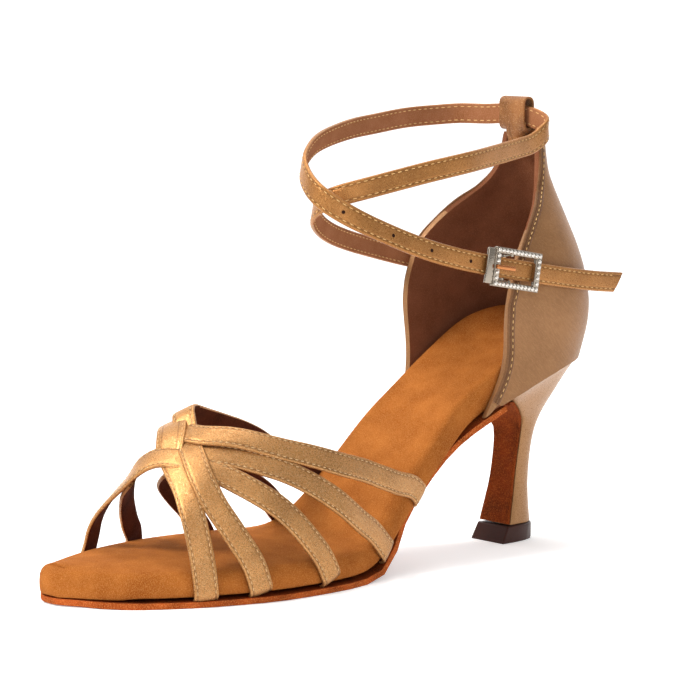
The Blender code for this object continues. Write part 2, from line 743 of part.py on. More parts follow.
def medial_route(rows):
    """Centres and outward normals of a strap between the knot and the medial edge."""
    def spot(row):
        across, share = BALL_WIDTH / 2 * row[0], row[1]
        rise = max(CREST_HEIGHT * row[2], 2 * GAP)
        across = min(across, past_insole(share, rise))
        return Vector((across, along_y(share), feather_z(share, -1) + rise))

    def step(a, b):
        return (spot(a) - spot(b)).length / STRAP_STEP

    centres, normals = [], []
    for row in catmull(rows, step):
        lean = math.radians(max(row[3], 0.0))
        pitch = crest_slope(row[1])
        turn = edge_turn(row[1]) * max(1 - row[3] / 45, 0.0)
        out, up = math.cos(lean), math.sin(lean)
        forward = out * math.sin(turn) - up * math.sin(pitch)
        centres.append(spot(row))
        normals.append(Vector((-out * math.cos(turn), forward, up * math.cos(pitch))))
    return centres, normals


def catmull(rows, step):
    """A smooth run of rows through the given ones, about a step apart by the first three."""
    found = []
    for i in range(len(rows) - 1):
        a, b = rows[i], rows[i + 1]
        before = rows[max(i - 1, 0)]
        after = rows[min(i + 2, len(rows) - 1)]
        count = max(2, round(step(a, b)))
        for k in range(count):
            t = k / count
            found.append([
                0.5 * (2 * q + (r - p) * t + (2 * p - 5 * q + 4 * r - s) * t * t
                       + (3 * q - p - 3 * r + s) * t ** 3)
                for p, q, r, s in zip(before, a, b, after)
            ])
    found.append(list(rows[-1]))
    return found


def ribbon(bm, centres, normals, width, thickness, slant=0.0):
    """A flat strap: a closed bar of rectangular section, its last end cut on the slant."""
    loops = []
    last = len(centres) - 1
    for i, centre in enumerate(centres):
        run = (centres[min(i + 1, last)] - centres[max(i - 1, 0)]).normalized()
        normal = (normals[i] - run * normals[i].dot(run)).normalized()
        across = run.cross(normal) * width / 2
        out = normal * thickness / 2
        skew = run * (slant if i == last else 0.0)
        loops.append(ring(bm, [centre - across - out - skew, centre + across - out + skew,
                               centre + across + out + skew, centre - across + out - skew]))
    for low, high in zip(loops, loops[1:]):
        bridge(bm, low, high)
    bm.faces.new(loops[0])
    bm.faces.new(loops[-1])


def make_vamp():
    """All the toe straps, joined into one body where they cross in the weave."""
    routes = {name: form_route(rows) for name, rows in FORM_STRAPS.items()}
    routes.update({name: medial_route(rows) for name, rows in MEDIAL_STRAPS.items()})
    pieces = []
    for name, (centres, normals) in routes.items():
        bm = bmesh.new()
        width = KEEPER_WIDTH if name == "keeper" else STRAP_WIDTH
        ribbon(bm, centres, normals, width, STRAP_THICKNESS)
        pieces.append(finish("strap_" + name, bm, "satin", 0.4, 0.3))
    vamp = pieces[0]
    vamp.name = "vamp_straps"
    for other in pieces[1:]:
        boolean(vamp, other, "UNION")
    drop_crumbs(vamp)
    return vamp


def drop_crumbs(piece):
    """Applies the piece's modifiers and leaves out the loose slivers of a few corners."""
    graph = bpy.context.evaluated_depsgraph_get()
    mesh = bpy.data.meshes.new_from_object(piece.evaluated_get(graph))
    bm = bmesh.new()
    bm.from_mesh(mesh)
    left = set(bm.verts)
    crumbs = []
    while left:
        start = left.pop()
        island, edge = [start], [start]
        while edge:
            near = {e.other_vert(v) for v in edge for e in v.link_edges} & left
            left -= near
            edge = list(near)
            island += edge
        if len(island) <= CRUMB_CORNERS:
            crumbs += island
    bmesh.ops.delete(bm, geom=crumbs, context="VERTS")
    bm.to_mesh(mesh)
    bm.free()
    piece.modifiers.clear()
    piece.data = mesh


def ankle_route():
    """Centres and outward normals of the ankle strap, about a step apart."""
    rows = [(x * ANKLE_WIDTH, y * ANKLE_LENGTH, z * COUNTER_TOP) for x, y, z in ANKLE_ROUTE]

    def step(a, b):
        return (Vector(a) - Vector(b)).length / ANKLE_STEP

    centres = [Vector(row) for row in catmull(rows, step)]
    middle = Vector((-0.03 * ANKLE_WIDTH, -0.36 * ANKLE_LENGTH, 0))
    normals = []
    for i, centre in enumerate(centres):
        run = centres[min(i + 1, len(centres) - 1)] - centres[max(i - 1, 0)]
        normal = run.cross(Vector((0, 0, 1)))
        out = Vector((centre.x - middle.x, centre.y - middle.y, 0))
        past_buckle = i >= len(centres) - FREE_END_STATIONS
        if (normal.x if past_buckle else normal.dot(out)) < 0:
            normal.negate()
        lean = math.radians(ANKLE_LEAN) * ease(-centre.y / ANKLE_LENGTH, 0.35, 0.75)
        normals.append(normal.normalized() * math.cos(lean) + Vector((0, 0, math.sin(lean))))
    return centres, normals


def make_ankle_strap():
    bm = bmesh.new()
    centres, normals = ankle_route()
    ribbon(bm, centres, normals, ANKLE_STRAP_WIDTH, ANKLE_STRAP_THICKNESS, FREE_END_SLANT)
    return finish("ankle_strap", bm, "satin", 0.45, 0.2)


def box(bm, low, high):
    """A box between two corners, in millimetres."""
    corners = [Vector((x, y, z)) * MM for z in (low[2], high[2]) for y in (low[1], high[1])
               for x in (low[0], high[0])]
    v = [bm.verts.new(corner) for corner in corners]
    sides = ((0, 1, 3, 2), (4, 5, 7, 6), (0, 1, 5, 4), (2, 3, 7, 6), (0, 2, 6, 4), (1, 3, 7, 5))
    for side in sides:
        bm.faces.new([v[i] for i in side])


def rounded(width, height, radius, corner=CORNER_STEPS):
    """Corners of a rounded rectangle about the origin, in order."""
    points = []
    for quarter in range(4):
        for i in range(corner + 1):
            turn = math.pi / 2 * (quarter + i / corner)
            sx, sy = ((1, 1), (-1, 1), (-1, -1), (1, -1))[quarter]
            points.append((sx * (width / 2 - radius) + radius * math.cos(turn),
                           sy * (height / 2 - radius) + radius * math.sin(turn)))
    return points


def make_back_loop():
    """The sleeve on the counter's tab that the ankle strap runs through, with its tail."""
    centre_y = ANKLE_LENGTH * 0.071
    centre_z = COUNTER_TOP * 1.046
    left = ANKLE_WIDTH * -0.072 - LOOP_WIDTH / 2
    bm = bmesh.new()
    loops = []
    for x, inset in ((left, 0), (left + LOOP_WIDTH, 0), (left + LOOP_WIDTH, 1), (left, 1)):
        shape = rounded(LOOP_DEPTH - 2 * LOOP_WALL * inset, LOOP_HEIGHT - 2 * LOOP_WALL * inset,
                        2.4 - LOOP_WALL * inset)
        loops.append(ring(bm, [(x, centre_y + y, centre_z + z) for y, z in shape]))
    for i in range(4):
        bridge(bm, loops[i], loops[(i + 1) % 4])
    sleeve = finish("back_loop", bm, "satin", 0.45, 0.2)
    bm = bmesh.new()
    middle = SEAT_WIDTH / 2 * read(COUNTER, "middle", 1)
    inside = COUNTER_DEPTH * read(COUNTER, "back", 1) - COUNTER_WALL - LOOP_TAIL_SPACE - LOOP_WALL / 2
    back = centre_y + (LOOP_DEPTH - LOOP_WALL) / 2
    rows = ((inside, COUNTER_TOP - LOOP_TAIL), (inside, COUNTER_TOP - LOOP_TAIL / 2), (inside, COUNTER_TOP),
            (back, centre_z), (back, centre_z + LOOP_HEIGHT / 4))
    centres = [Vector((middle, y, z)) for y, z in rows]
    ribbon(bm, centres, [Vector((0, 1, 0))] * len(rows), LOOP_TAIL_WIDTH, LOOP_WALL)
    tail = finish("loop_tail", bm, "satin", 0.45)
    boolean(sleeve, tail, "UNION")
    return sleeve


def buckle_frame_axes():
    """Where the buckle sits: its centre and its along, outward and upward directions."""
    centres, normals = ankle_route()
    last = len(centres) - 1
    i = max(k for k in range(last) if centres[k].y <= -BUCKLE_BACK)
    share = (-BUCKLE_BACK - centres[i].y) / (centres[i + 1].y - centres[i].y)
    run = (centres[min(i + 2, last)] - centres[i - 1]).normalized()
    normal = normals[i].lerp(normals[i + 1], share)
    out = (normal - run * normal.dot(run)).normalized()
    return centres[i].lerp(centres[i + 1], share), run, out, run.cross(out)


def make_buckle():
    """The rectangular buckle: open border, side rail, hidden bar behind the strap, and prong."""
    centre, run, out, up = buckle_frame_axes()
    if up.z < 0:
        up = -up
    low = ANKLE_STRAP_THICKNESS / 2 + BUCKLE_CLEARANCE
    high = low + BUCKLE_THICKNESS

    def to_world(bm):
        for v in bm.verts:
            t, n, w = v.co / MM
            v.co = (centre + run * t + out * n + up * w) * MM

    bm = bmesh.new()
    loops = []
    for n, inset in ((low, 0), (high, 0), (high, 1), (low, 1)):
        shape = rounded(BUCKLE_LENGTH - 2 * BUCKLE_BORDER * inset,
                        BUCKLE_HEIGHT - 2 * BUCKLE_SIDE * inset,
                        BUCKLE_CORNER * (1 - inset / 2))
        loops.append(ring(bm, [(t, n, w) for t, w in shape]))
    for i in range(4):
        bridge(bm, loops[i], loops[(i + 1) % 4])
    to_world(bm)
    frame = finish("buckle_frame", bm, "silver", 0.2, 1.0)
    half = BUCKLE_LENGTH / 2
    tall = BUCKLE_HEIGHT / 2 - 0.6
    back = -low - BAR_WIDTH
    bar_at = -BAR_PLACE * BUCKLE_LENGTH
    edge = ANKLE_STRAP_WIDTH / 2 + BUCKLE_CLEARANCE
    top = low + BUCKLE_THICKNESS / 2
    outline = ((top, -tall), (back, -tall), (back, tall), (top, tall),
               (top, edge), (-low, edge), (-low, -edge), (top, -edge))
    bm = bmesh.new()
    loops = [ring(bm, [(bar_at + t, n, w) for n, w in outline]) for t in (-BAR_WIDTH / 2, BAR_WIDTH / 2)]
    bridge(bm, loops[0], loops[1])
    for loop in loops:
        bmesh.ops.triangulate(bm, faces=[bm.faces.new(loop)])
    to_world(bm)
    boolean(frame, finish("buckle_bar", bm, "silver", 0.2, 1.0), "UNION")
    parts = {
        "rail": ((-half - RAIL_WIDTH, low + 0.1, -tall), (-half + 0.5, high - 0.7, tall)),
        "prong": ((-half + 0.4, high - 0.4, -PRONG_WIDTH / 2),
                  (bar_at + 1.2, high + 0.7, PRONG_WIDTH / 2)),
    }
    for name, (first, last) in parts.items():
        bm = bmesh.new()
        box(bm, first, last)
        to_world(bm)
        boolean(frame, finish("buckle_" + name, bm, "silver", 0.2, 1.0), "UNION")
    return frame


def make_buckle_tab():
    """Short strap that holds the buckle's bar to the side of the counter."""
    centre, run, out, up = buckle_frame_axes()
    low = ANKLE_STRAP_THICKNESS / 2 + BUCKLE_CLEARANCE + BAR_WIDTH + GAP
    start = -BAR_PLACE * BUCKLE_LENGTH - 1.2
    bm = bmesh.new()
    behind = centre - out * (low + TAB_THICKNESS / 2)
    centres = [behind + run * (start + TAB_LENGTH * share) for share in (0, 0.5, 1)]
    ribbon(bm, centres, [out] * len(centres), TAB_WIDTH, TAB_THICKNESS)
    return finish("buckle_tab", bm, "satin", 0.45, 0.2)


def clear_scene():
    for old in list(bpy.data.objects):
        bpy.data.objects.remove(old, do_unlink=True)


def main():
    clear_scene()
    make_insole()
    make_outsole()
    make_counter()
    make_heel()
    make_heel_tip()
    make_breast_cover()
    make_vamp()
    make_ankle_strap()
    make_back_loop()
    make_buckle()
    make_buckle_tab()


main()
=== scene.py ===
"""Looks of the left ballroom sandal: satin, suede, stitches, stones, light and camera.

The sizes and tables are in millimetres or in shares of named sizes, every mesh is in metres.
X points to the outer side, Y to the heel and Z up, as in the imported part.
"""

import logging
import math
from dataclasses import dataclass
from enum import Enum
from typing import Callable, Sequence

import bmesh
import bpy
from mathutils import Matrix, Vector


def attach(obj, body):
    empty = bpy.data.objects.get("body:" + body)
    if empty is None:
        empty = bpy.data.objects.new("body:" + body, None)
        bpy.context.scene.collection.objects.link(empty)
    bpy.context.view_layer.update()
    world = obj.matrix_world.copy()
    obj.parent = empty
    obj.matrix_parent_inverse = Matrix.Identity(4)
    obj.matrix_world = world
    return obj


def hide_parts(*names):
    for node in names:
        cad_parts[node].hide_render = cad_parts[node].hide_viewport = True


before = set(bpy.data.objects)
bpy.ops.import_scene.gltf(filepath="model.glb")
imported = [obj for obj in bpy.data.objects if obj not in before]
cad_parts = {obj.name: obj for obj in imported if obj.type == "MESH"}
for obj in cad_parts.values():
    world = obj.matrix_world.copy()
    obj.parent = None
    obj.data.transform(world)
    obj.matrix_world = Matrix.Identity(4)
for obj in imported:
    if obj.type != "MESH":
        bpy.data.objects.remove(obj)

LOG = logging.getLogger("sandal")
MM = 0.001
SHARP_TURN = math.radians(45)
TUCK_TURN = math.radians(75)
BEVEL_TURN = math.radians(40)
CUP_MIDDLE = Vector((-1.5, -8.0, 0.0))
Row = tuple[float, ...]


class Slot(Enum):
    """Names of material slots."""

    SOCK = "sock"
    SOLE = "sole"
    SATIN = "satin"
    STRAP = "strap"
    TIP = "tip"
    BUCKLE = "buckle"


# Sole, a row for each station from the toe (0) to the back of the seat (1)
SOLE = (
    ("along", "middle", "half"),
    (0, -0.13, 0),
    (0.022, -0.135, 0.27),
    (0.048, -0.06, 0.43),
    (0.102, -0.02, 0.663),
    (0.186, 0.003, 0.881),
    (0.291, 0.032, 1),
    (0.395, 0.054, 0.96),
    (0.501, 0.082, 0.847),
    (0.606, 0.058, 0.765),
    (0.71, 0.015, 0.876),
    (0.793, -0.01, 0.953),
    (0.877, -0.03, 1),
    (0.954, -0.038, 0.8),
    (0.995, -0.03, 0.41),
    (1, -0.03, 0),
)
PROFILE = (
    ("along", "rise", "cant", "cup"),
    (0, 0.008, 0, 0),
    (0.105, 0, 0, 0),
    (0.205, 0, 0, 0),
    (0.305, 0, 0, 0),
    (0.445, 0, 0, 0),
    (0.482, 0.014, 0, 0),
    (0.52, 0.094, 0.005, 0),
    (0.591, 0.312, 0.016, 0.1),
    (0.666, 0.54, 0.03, 0.15),
    (0.733, 0.704, 0.038, 0.19),
    (0.784, 0.792, 0.042, 0.25),
    (0.846, 0.883, 0.04, 0.46),
    (0.917, 0.966, 0.03, 0.74),
    (1, 1, 0, 0.84),
)
# Counter, a row for each level from the seat (0) to the top of its tab (1)
COUNTER = (
    ("level", "half", "middle", "bend", "back", "lateral", "medial"),
    (-0.25, 0.94, -0.02, 0.93, 0.92, -1.03, -1.06),
    (0, 0.97, -0.04, 0.93, 0.93, -0.71, -0.92),
    (0.07, 0.99, -0.05, 0.93, 1.005, -0.69, -0.915),
    (0.17, 1.03, -0.06, 0.93, 1.07, -0.705, -0.92),
    (0.25, 1.06, -0.06, 0.93, 1.065, -0.715, -0.915),
    (0.32, 1.06, -0.06, 0.93, 1.032, -0.67, -0.89),
    (0.41, 1.03, -0.06, 0.9, 0.972, -0.62, -0.83),
    (0.52, 0.97, -0.06, 0.83, 0.854, -0.465, -0.715),
    (0.6, 0.86, -0.06, 0.73, 0.763, -0.29, -0.54),
    (0.69, 0.68, -0.06, 0.57, 0.676, -0.055, -0.31),
    (0.75, 0.52, -0.06, 0.43, 0.628, 0.09, -0.09),
    (0.83, 0.42, -0.06, 0.32, 0.55, 0.19, 0.11),
    (0.93, 0.36, -0.06, 0.28, 0.525, 0.24, 0.2),
    (1, 0.31, -0.06, 0.25, 0.52, 0.25, 0.2),
)
# Foot form under the vamp: the crest's height as a share of the crest height at the ball
CREST = (
    ("along", "rise"),
    (0, 0.3),
    (0.072, 0.42),
    (0.152, 0.6),
    (0.201, 0.77),
    (0.241, 0.865),
    (0.272, 0.917),
    (0.338, 1),
    (0.425, 1.12),
    (0.516, 1.27),
    (0.606, 1.48),
    (0.706, 1.75),
)
# Straps on the foot form: the angle from the lateral edge, the place along the sole, the level
FORM_STRAPS = {
    "lateral_1": (
        (0, 0.165, 0), (20, 0.163, 0), (40, 0.166, -0.3), (55, 0.172, -1.2), (66, 0.176, -1.7),
        (76, 0.183, -1.8),
    ),
    "lateral_2": (
        (0, 0.244, 0), (10, 0.233, 0), (21, 0.213, 0), (36, 0.196, 0), (51, 0.194, -0.1),
        (61, 0.199, -0.5), (69, 0.205, -1.2), (75, 0.21, -1.8), (81, 0.215, -2.2),
    ),
    "lateral_3": (
        (0, 0.369, 0), (7, 0.352, 0), (16, 0.321, 0), (26, 0.283, 0), (33, 0.257, -0.5),
        (41, 0.234, -1.3), (50, 0.215, -1.9), (58, 0.198, -1.9),
    ),
    "lateral_4": (
        (0, 0.504, 0), (8, 0.472, 0), (16, 0.421, 0), (27, 0.36, 0), (36, 0.313, -0.3),
        (43, 0.277, -0.9), (51, 0.247, -1.7), (58, 0.225, -1.9), (66, 0.204, -1.9),
    ),
    "lateral_5": (
        (0, 0.59, 0), (4.5, 0.576, 0), (12.5, 0.54, 0), (23, 0.48, 0), (31, 0.41, 0), (40, 0.346, 0),
        (47, 0.305, 0), (54, 0.275, 0), (60, 0.254, 0), (67, 0.232, 0), (73, 0.222, -0.3),
        (82, 0.218, -1.3), (90, 0.216, -2.2),
    ),
    "keeper": (
        (78, 0.18, -2.8), (79, 0.187, -1.5), (81.5, 0.198, -0.4), (85.5, 0.211, 0.1),
        (89, 0.221, -0.1), (92, 0.231, -1.8),
    ),
}
# Straps to the medial side: across, along, height over the feather line, lean of the face
MEDIAL_STRAPS = {
    "crown": (
        (0.404, 0.207, 0.62, 110), (0.325, 0.199, 0.639, 107), (0.235, 0.19, 0.647, 105),
        (0.09, 0.183, 0.645, 98), (-0.05, 0.172, 0.615, 92), (-0.125, 0.163, 0.575, 86),
        (-0.26, 0.16, 0.5, 68), (-0.48, 0.158, 0.405, 52), (-0.68, 0.159, 0.305, 38),
        (-0.785, 0.161, 0.22, 20), (-0.825, 0.163, 0.14, 8), (-0.845, 0.163, 0.03, 0),
    ),
    "medial_2": (
        (-0.2, 0.168, 0.525, 72), (-0.36, 0.175, 0.465, 55), (-0.45, 0.184, 0.43, 42),
        (-0.6, 0.2, 0.37, 28), (-0.74, 0.218, 0.3, 18), (-0.86, 0.238, 0.21, 8),
        (-0.93, 0.256, 0.14, 2), (-0.965, 0.265, 0.03, 0),
    ),
    "medial_3": (
        (0.256, 0.203, 0.656, 103), (0.108, 0.207, 0.61, 95), (-0.04, 0.212, 0.56, 82),
        (-0.3, 0.237, 0.483, 58), (-0.515, 0.28, 0.38, 36), (-0.68, 0.321, 0.288, 20),
        (-0.885, 0.365, 0.18, 8), (-0.93, 0.389, 0.1, 2), (-0.94, 0.395, 0.03, 0),
    ),
    "medial_4": (
        (0.216, 0.221, 0.703, 96), (0.121, 0.243, 0.645, 88), (-0.02, 0.293, 0.545, 74),
        (-0.15, 0.346, 0.485, 54), (-0.34, 0.411, 0.385, 34), (-0.53, 0.463, 0.28, 20),
        (-0.67, 0.503, 0.13, 6), (-0.7, 0.513, 0.03, 0),
    ),
    "medial_5": (
        (0.162, 0.216, 0.718, 92), (0.094, 0.2258, 0.7515, 92), (0.008, 0.2325, 0.809, 90),
        (-0.095, 0.244, 0.85, 80), (-0.185, 0.281, 0.805, 56), (-0.3, 0.339, 0.735, 36),
        (-0.39, 0.392, 0.67, 24), (-0.475, 0.441, 0.59, 16), (-0.545, 0.5, 0.44, 10),
        (-0.565, 0.549, 0.26, 5), (-0.55, 0.598, 0.05, 0),
    ),
}
# Punched holes, in millimetres before the buckle's middle
HOLES = (21.0, 39.4, 56.5, 76.3)
# Ankle strap route in shares of the ring's width and length and of the counter's top height
ANKLE_ROUTE = (
    (-0.471, -0.093, 0.679), (-0.484, -0.157, 0.686), (-0.456, -0.292, 0.708), (-0.29, -0.557, 0.754),
    (-0.145, -0.715, 0.79), (-0.016, -0.814, 0.827), (0.065, -0.844, 0.848), (0.161, -0.854, 0.867),
    (0.258, -0.833, 0.882), (0.331, -0.773, 0.896), (0.426, -0.58, 0.928), (0.435, -0.436, 0.944),
    (0.4, -0.327, 0.953), (0.258, -0.088, 0.97), (0.21, 0.004, 0.981), (0.174, 0.08, 1.014),
    (0.056, 0.074, 1.037), (-0.161, 0.069, 1.044), (-0.274, 0.052, 1.041), (-0.419, 0, 1.042),
    (-0.476, -0.06, 1.039), (-0.497, -0.196, 1.034), (-0.432, -0.371, 1.023), (-0.331, -0.524, 1.015),
    (-0.194, -0.692, 0.998), (-0.089, -0.791, 0.98), (0.016, -0.87, 0.951), (0.081, -0.896, 0.926),
    (0.21, -0.918, 0.893), (0.331, -0.896, 0.859), (0.419, -0.803, 0.816), (0.456, -0.577, 0.751),
    (0.444, -0.316, 0.704), (0.411, 0.086, 0.652), (0.377, 0.286, 0.634),
)


def smooth(xs: Sequence[float], ys: Sequence[float], x: float) -> float:
    """Reads a smooth curve that doesn't overshoot its rows.

    Args:
        xs: Places of the rows, rising.
        ys: Values of the rows.
        x: Where to read.

    Returns:
        The value at x.
    """
    x = min(max(x, xs[0]), xs[-1])
    i = max(k for k in range(len(xs) - 1) if xs[k] <= x)
    steps = [(ys[k + 1] - ys[k]) / (xs[k + 1] - xs[k]) for k in range(len(xs) - 1)]
    ends = [steps[0]]
    for before, after in zip(steps, steps[1:]):
        ends.append(2 * before * after / (before + after) if before * after > 0 else 0.0)
    ends.append(steps[-1])
    h = xs[i + 1] - xs[i]
    t = (x - xs[i]) / h
    return (
        ys[i] * (1 + 2 * t) * (1 - t) ** 2
        + ends[i] * h * t * (1 - t) ** 2
        + ys[i + 1] * t * t * (3 - 2 * t)
        - ends[i + 1] * h * t * t * (1 - t)
    )


def ease(x: float, low: float, high: float) -> float:
    """Rises smoothly from 0 at low to 1 at high."""
    t = min(max((x - low) / (high - low), 0.0), 1.0)
    return t * t * (3 - 2 * t)


def read(table: Sequence[Row], column: str, at: float) -> float:
    """Reads a named column where the table's first column has the given value."""
    rows = table[1:]
    place = table[0].index(column)
    return smooth([row[0] for row in rows], [row[place] for row in rows], at)


def catmull(rows: Sequence[Row], step: Callable[[Row, Row], float]) -> list[list[float]]:
    """A smooth run of rows through the given ones.

    Args:
        rows: Rows that the run goes through.
        step: How many new rows to make between two of them.

    Returns:
        The rows of the run.
    """
    found = []
    for i in range(len(rows) - 1):
        a, b = rows[i], rows[i + 1]
        before, after = rows[max(i - 1, 0)], rows[min(i + 2, len(rows) - 1)]
        count = max(2, round(step(a, b)))
        for k in range(count):
            t = k / count
            found.append([
                0.5 * (2 * q + (r - p) * t + (2 * p - 5 * q + 4 * r - s) * t * t
                       + (3 * q - p - 3 * r + s) * t ** 3)
                for p, q, r, s in zip(before, a, b, after)
            ])
    found.append(list(rows[-1]))
    return found


@dataclass(frozen=True)
class Route:
    """A strap's middle line.

    Attributes:
        centres: Points of the middle line, in millimetres.
        normals: The strap's outward direction at each point.
    """

    centres: list[Vector]
    normals: list[Vector]

    def frame_at(self, i: int) -> tuple[Vector, Vector, Vector]:
        """The along, outward and across directions at a station."""
        last = len(self.centres) - 1
        along = (self.centres[min(i + 1, last)] - self.centres[max(i - 1, 0)]).normalized()
        out = (self.normals[i] - along * self.normals[i].dot(along)).normalized()
        return along, out, along.cross(out)

    def lengths(self) -> list[float]:
        """Distance of each station from the start."""
        total = [0.0]
        for a, b in zip(self.centres, self.centres[1:]):
            total.append(total[-1] + (b - a).length)
        return total

    def at(self, length: float) -> tuple[Vector, Vector, Vector, Vector]:
        """The point at a length, with the along, outward and across directions there."""
        lengths = self.lengths()
        i = max(k for k in range(len(lengths) - 1) if lengths[k] <= max(length, 0.0))
        t = min((length - lengths[i]) / (lengths[i + 1] - lengths[i]), 1.0)
        first, second = self.frame_at(i), self.frame_at(i + 1)
        along, out, across = (a.lerp(b, t).normalized() for a, b in zip(first, second))
        return self.centres[i].lerp(self.centres[i + 1], t), along, out, across

    def eased(self, passes: int) -> "Route":
        """The same route with its small kinks smoothed out, between fixed ends."""
        centres, normals = list(self.centres), list(self.normals)
        for _ in range(passes):
            middles = [(a + b) / 2 for a, b in zip(centres, centres[2:])]
            centres[1:-1] = [c.lerp(m, 0.5) for c, m in zip(centres[1:-1], middles)]
            turns = [(a + b) / 2 for a, b in zip(normals, normals[2:])]
            normals[1:-1] = [n.lerp(m, 0.5).normalized() for n, m in zip(normals[1:-1], turns)]
        return Route(centres, normals)

    def tucked(self, step: float, stations: int, at_end: bool = False) -> "Route":
        """The same route with one end curled inward, as where it goes under the insole."""
        centres, normals = list(self.centres), list(self.normals)
        if at_end:
            centres.reverse()
            normals.reverse()
        run = (centres[0] - centres[1]).normalized()
        out = (normals[0] - run * normals[0].dot(run)).normalized()
        for k in range(1, stations + 1):
            turn = TUCK_TURN * k / stations
            heading = run * math.cos(turn) - out * math.sin(turn)
            centres.insert(0, centres[0] + heading * step)
            normals.insert(0, out * math.cos(turn) + run * math.sin(turn))
        if at_end:
            centres.reverse()
            normals.reverse()
        return Route(centres, normals)

    def offset(self, across: float, out: float) -> "Route":
        """The same route moved across and outward."""
        centres = []
        for i, centre in enumerate(self.centres):
            _, normal, side = self.frame_at(i)
            centres.append(centre + side * across + normal * out)
        return Route(centres, self.normals)


@dataclass(frozen=True)
class Last:
    """The shape of the last: outline, feather line and the foot form under the vamp.

    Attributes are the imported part's driving sizes in millimetres.
    """

    length: float = 224.5
    ball: float = 74.2
    seat: float = 49.0
    setback: float = 28.5
    seat_height: float = 66.0
    forefoot: float = 2.5
    crest: float = 66.0
    centre: float = -4.0
    gap: float = 0.3
    insole: float = 9.0
    edge_round: float = 4.5
    edge_space: float = 2.25
    strap_foot: float = 2.2
    foot_span: float = 12.0
    strap: float = 1.5
    weave: float = 0.9
    step: float = 1.3

    def y(self, share: float) -> float:
        """Place along the shoe of a share of its length."""
        return self.setback - self.length * (1 - share)

    def middle(self, share: float) -> float:
        """The outline's middle line."""
        return self.ball / 2 * read(SOLE, "middle", share)

    def half(self, share: float) -> float:
        """Half the sole's width."""
        local = self.ball + (self.seat - self.ball) * min(max((share - 0.4) / 0.3, 0.0), 1.0)
        rows = SOLE[1:]
        square = smooth([row[0] for row in rows], [row[2] ** 2 for row in rows], share)
        return local / 2 * math.sqrt(max(square, 0.0))

    def feather(self, share: float, side: float = 1.0) -> float:
        """Height of the feather line on the lateral (1) or medial (-1) side."""
        rise = self.seat_height - self.forefoot
        cant = read(PROFILE, "cant", share) * (1 - side) / 2
        return self.forefoot + rise * (read(PROFILE, "rise", share) + cant)

    def form_point(self, degrees: float, share: float) -> Vector:
        """A point of the foot form, from its lateral edge (0 degrees) to its crest (90)."""
        turn = math.radians(degrees)
        side = 1 if degrees <= 90 else -1
        reach = self.half(share) + side * (self.middle(share) - self.centre)
        reach += self.gap + self.strap / 2
        low = self.feather(share, side)
        crest = self.crest * read(CREST, "rise", share)
        x = self.centre + side * reach * abs(math.cos(turn)) ** 0.9
        return Vector((x, self.y(share), low + (crest - low) * math.sin(turn) ** 0.9))

    def form_normal(self, degrees: float, share: float) -> Vector:
        """The foot form's outward direction."""
        around = self.form_point(degrees + 2, share) - self.form_point(max(degrees - 2, 0), share)
        along = self.form_point(degrees, share + 0.01) - self.form_point(degrees, share - 0.01)
        return along.cross(around).normalized()

    def form_route(self, rows: Sequence[Row]) -> Route:
        """The middle line of a strap that follows the foot form."""

        def step(a: Row, b: Row) -> float:
            return (self.form_point(a[0], a[1]) - self.form_point(b[0], b[1])).length / self.step

        centres, normals = [], []
        for degrees, share, level in catmull(rows, step):
            degrees += self.strap_foot * max(1 - degrees / self.foot_span, 0.0)
            normal = self.form_normal(degrees, share)
            centres.append(self.form_point(degrees, share) + normal * level * self.weave)
            normals.append(normal)
        return Route(centres, normals)

    def past_insole(self, share: float, rise: float) -> float:
        """How far across a medial strap has to be to pass the insole's rolled edge."""
        edge = self.middle(share) - self.half(share)
        bend = rise - (self.insole - self.edge_round)
        reach = self.edge_round + self.edge_space
        if bend >= reach:
            return self.ball
        return edge + self.edge_round - math.sqrt(reach ** 2 - max(bend, 0.0) ** 2)

    def edge_turn(self, share: float) -> float:
        """Angle in plan between the sole's medial edge and the shoe's length."""
        low, high = (self.middle(s) - self.half(s) for s in (share - 0.02, share + 0.02))
        return math.atan2(high - low, 0.04 * self.length)

    def crest_slope(self, share: float) -> float:
        """Angle at which the crest of the foot form climbs toward the heel."""
        climb = read(CREST, "rise", share + 0.02) - read(CREST, "rise", share - 0.02)
        return math.atan2(self.crest * climb, 0.04 * self.length)

    def medial_route(self, rows: Sequence[Row]) -> Route:
        """The middle line of a strap between the knot and the medial edge."""

        def spot(row: Row) -> Vector:
            share = row[1]
            rise = max(self.crest * row[2], 2 * self.gap)
            across = min(self.ball / 2 * row[0], self.past_insole(share, rise))
            return Vector((across, self.y(share), self.feather(share, -1) + rise))

        def step(a: Row, b: Row) -> float:
            return (spot(a) - spot(b)).length / self.step

        centres, normals = [], []
        for row in catmull(rows, step):
            lean = math.radians(max(row[3], 0.0))
            pitch = self.crest_slope(row[1])
            turn = self.edge_turn(row[1]) * max(1 - row[3] / 45, 0.0)
            out, up = math.cos(lean), math.sin(lean)
            y = out * math.sin(turn) - up * math.sin(pitch)
            centres.append(spot(row))
            normals.append(Vector((-out * math.cos(turn), y, up * math.cos(pitch))))
        return Route(centres, normals)


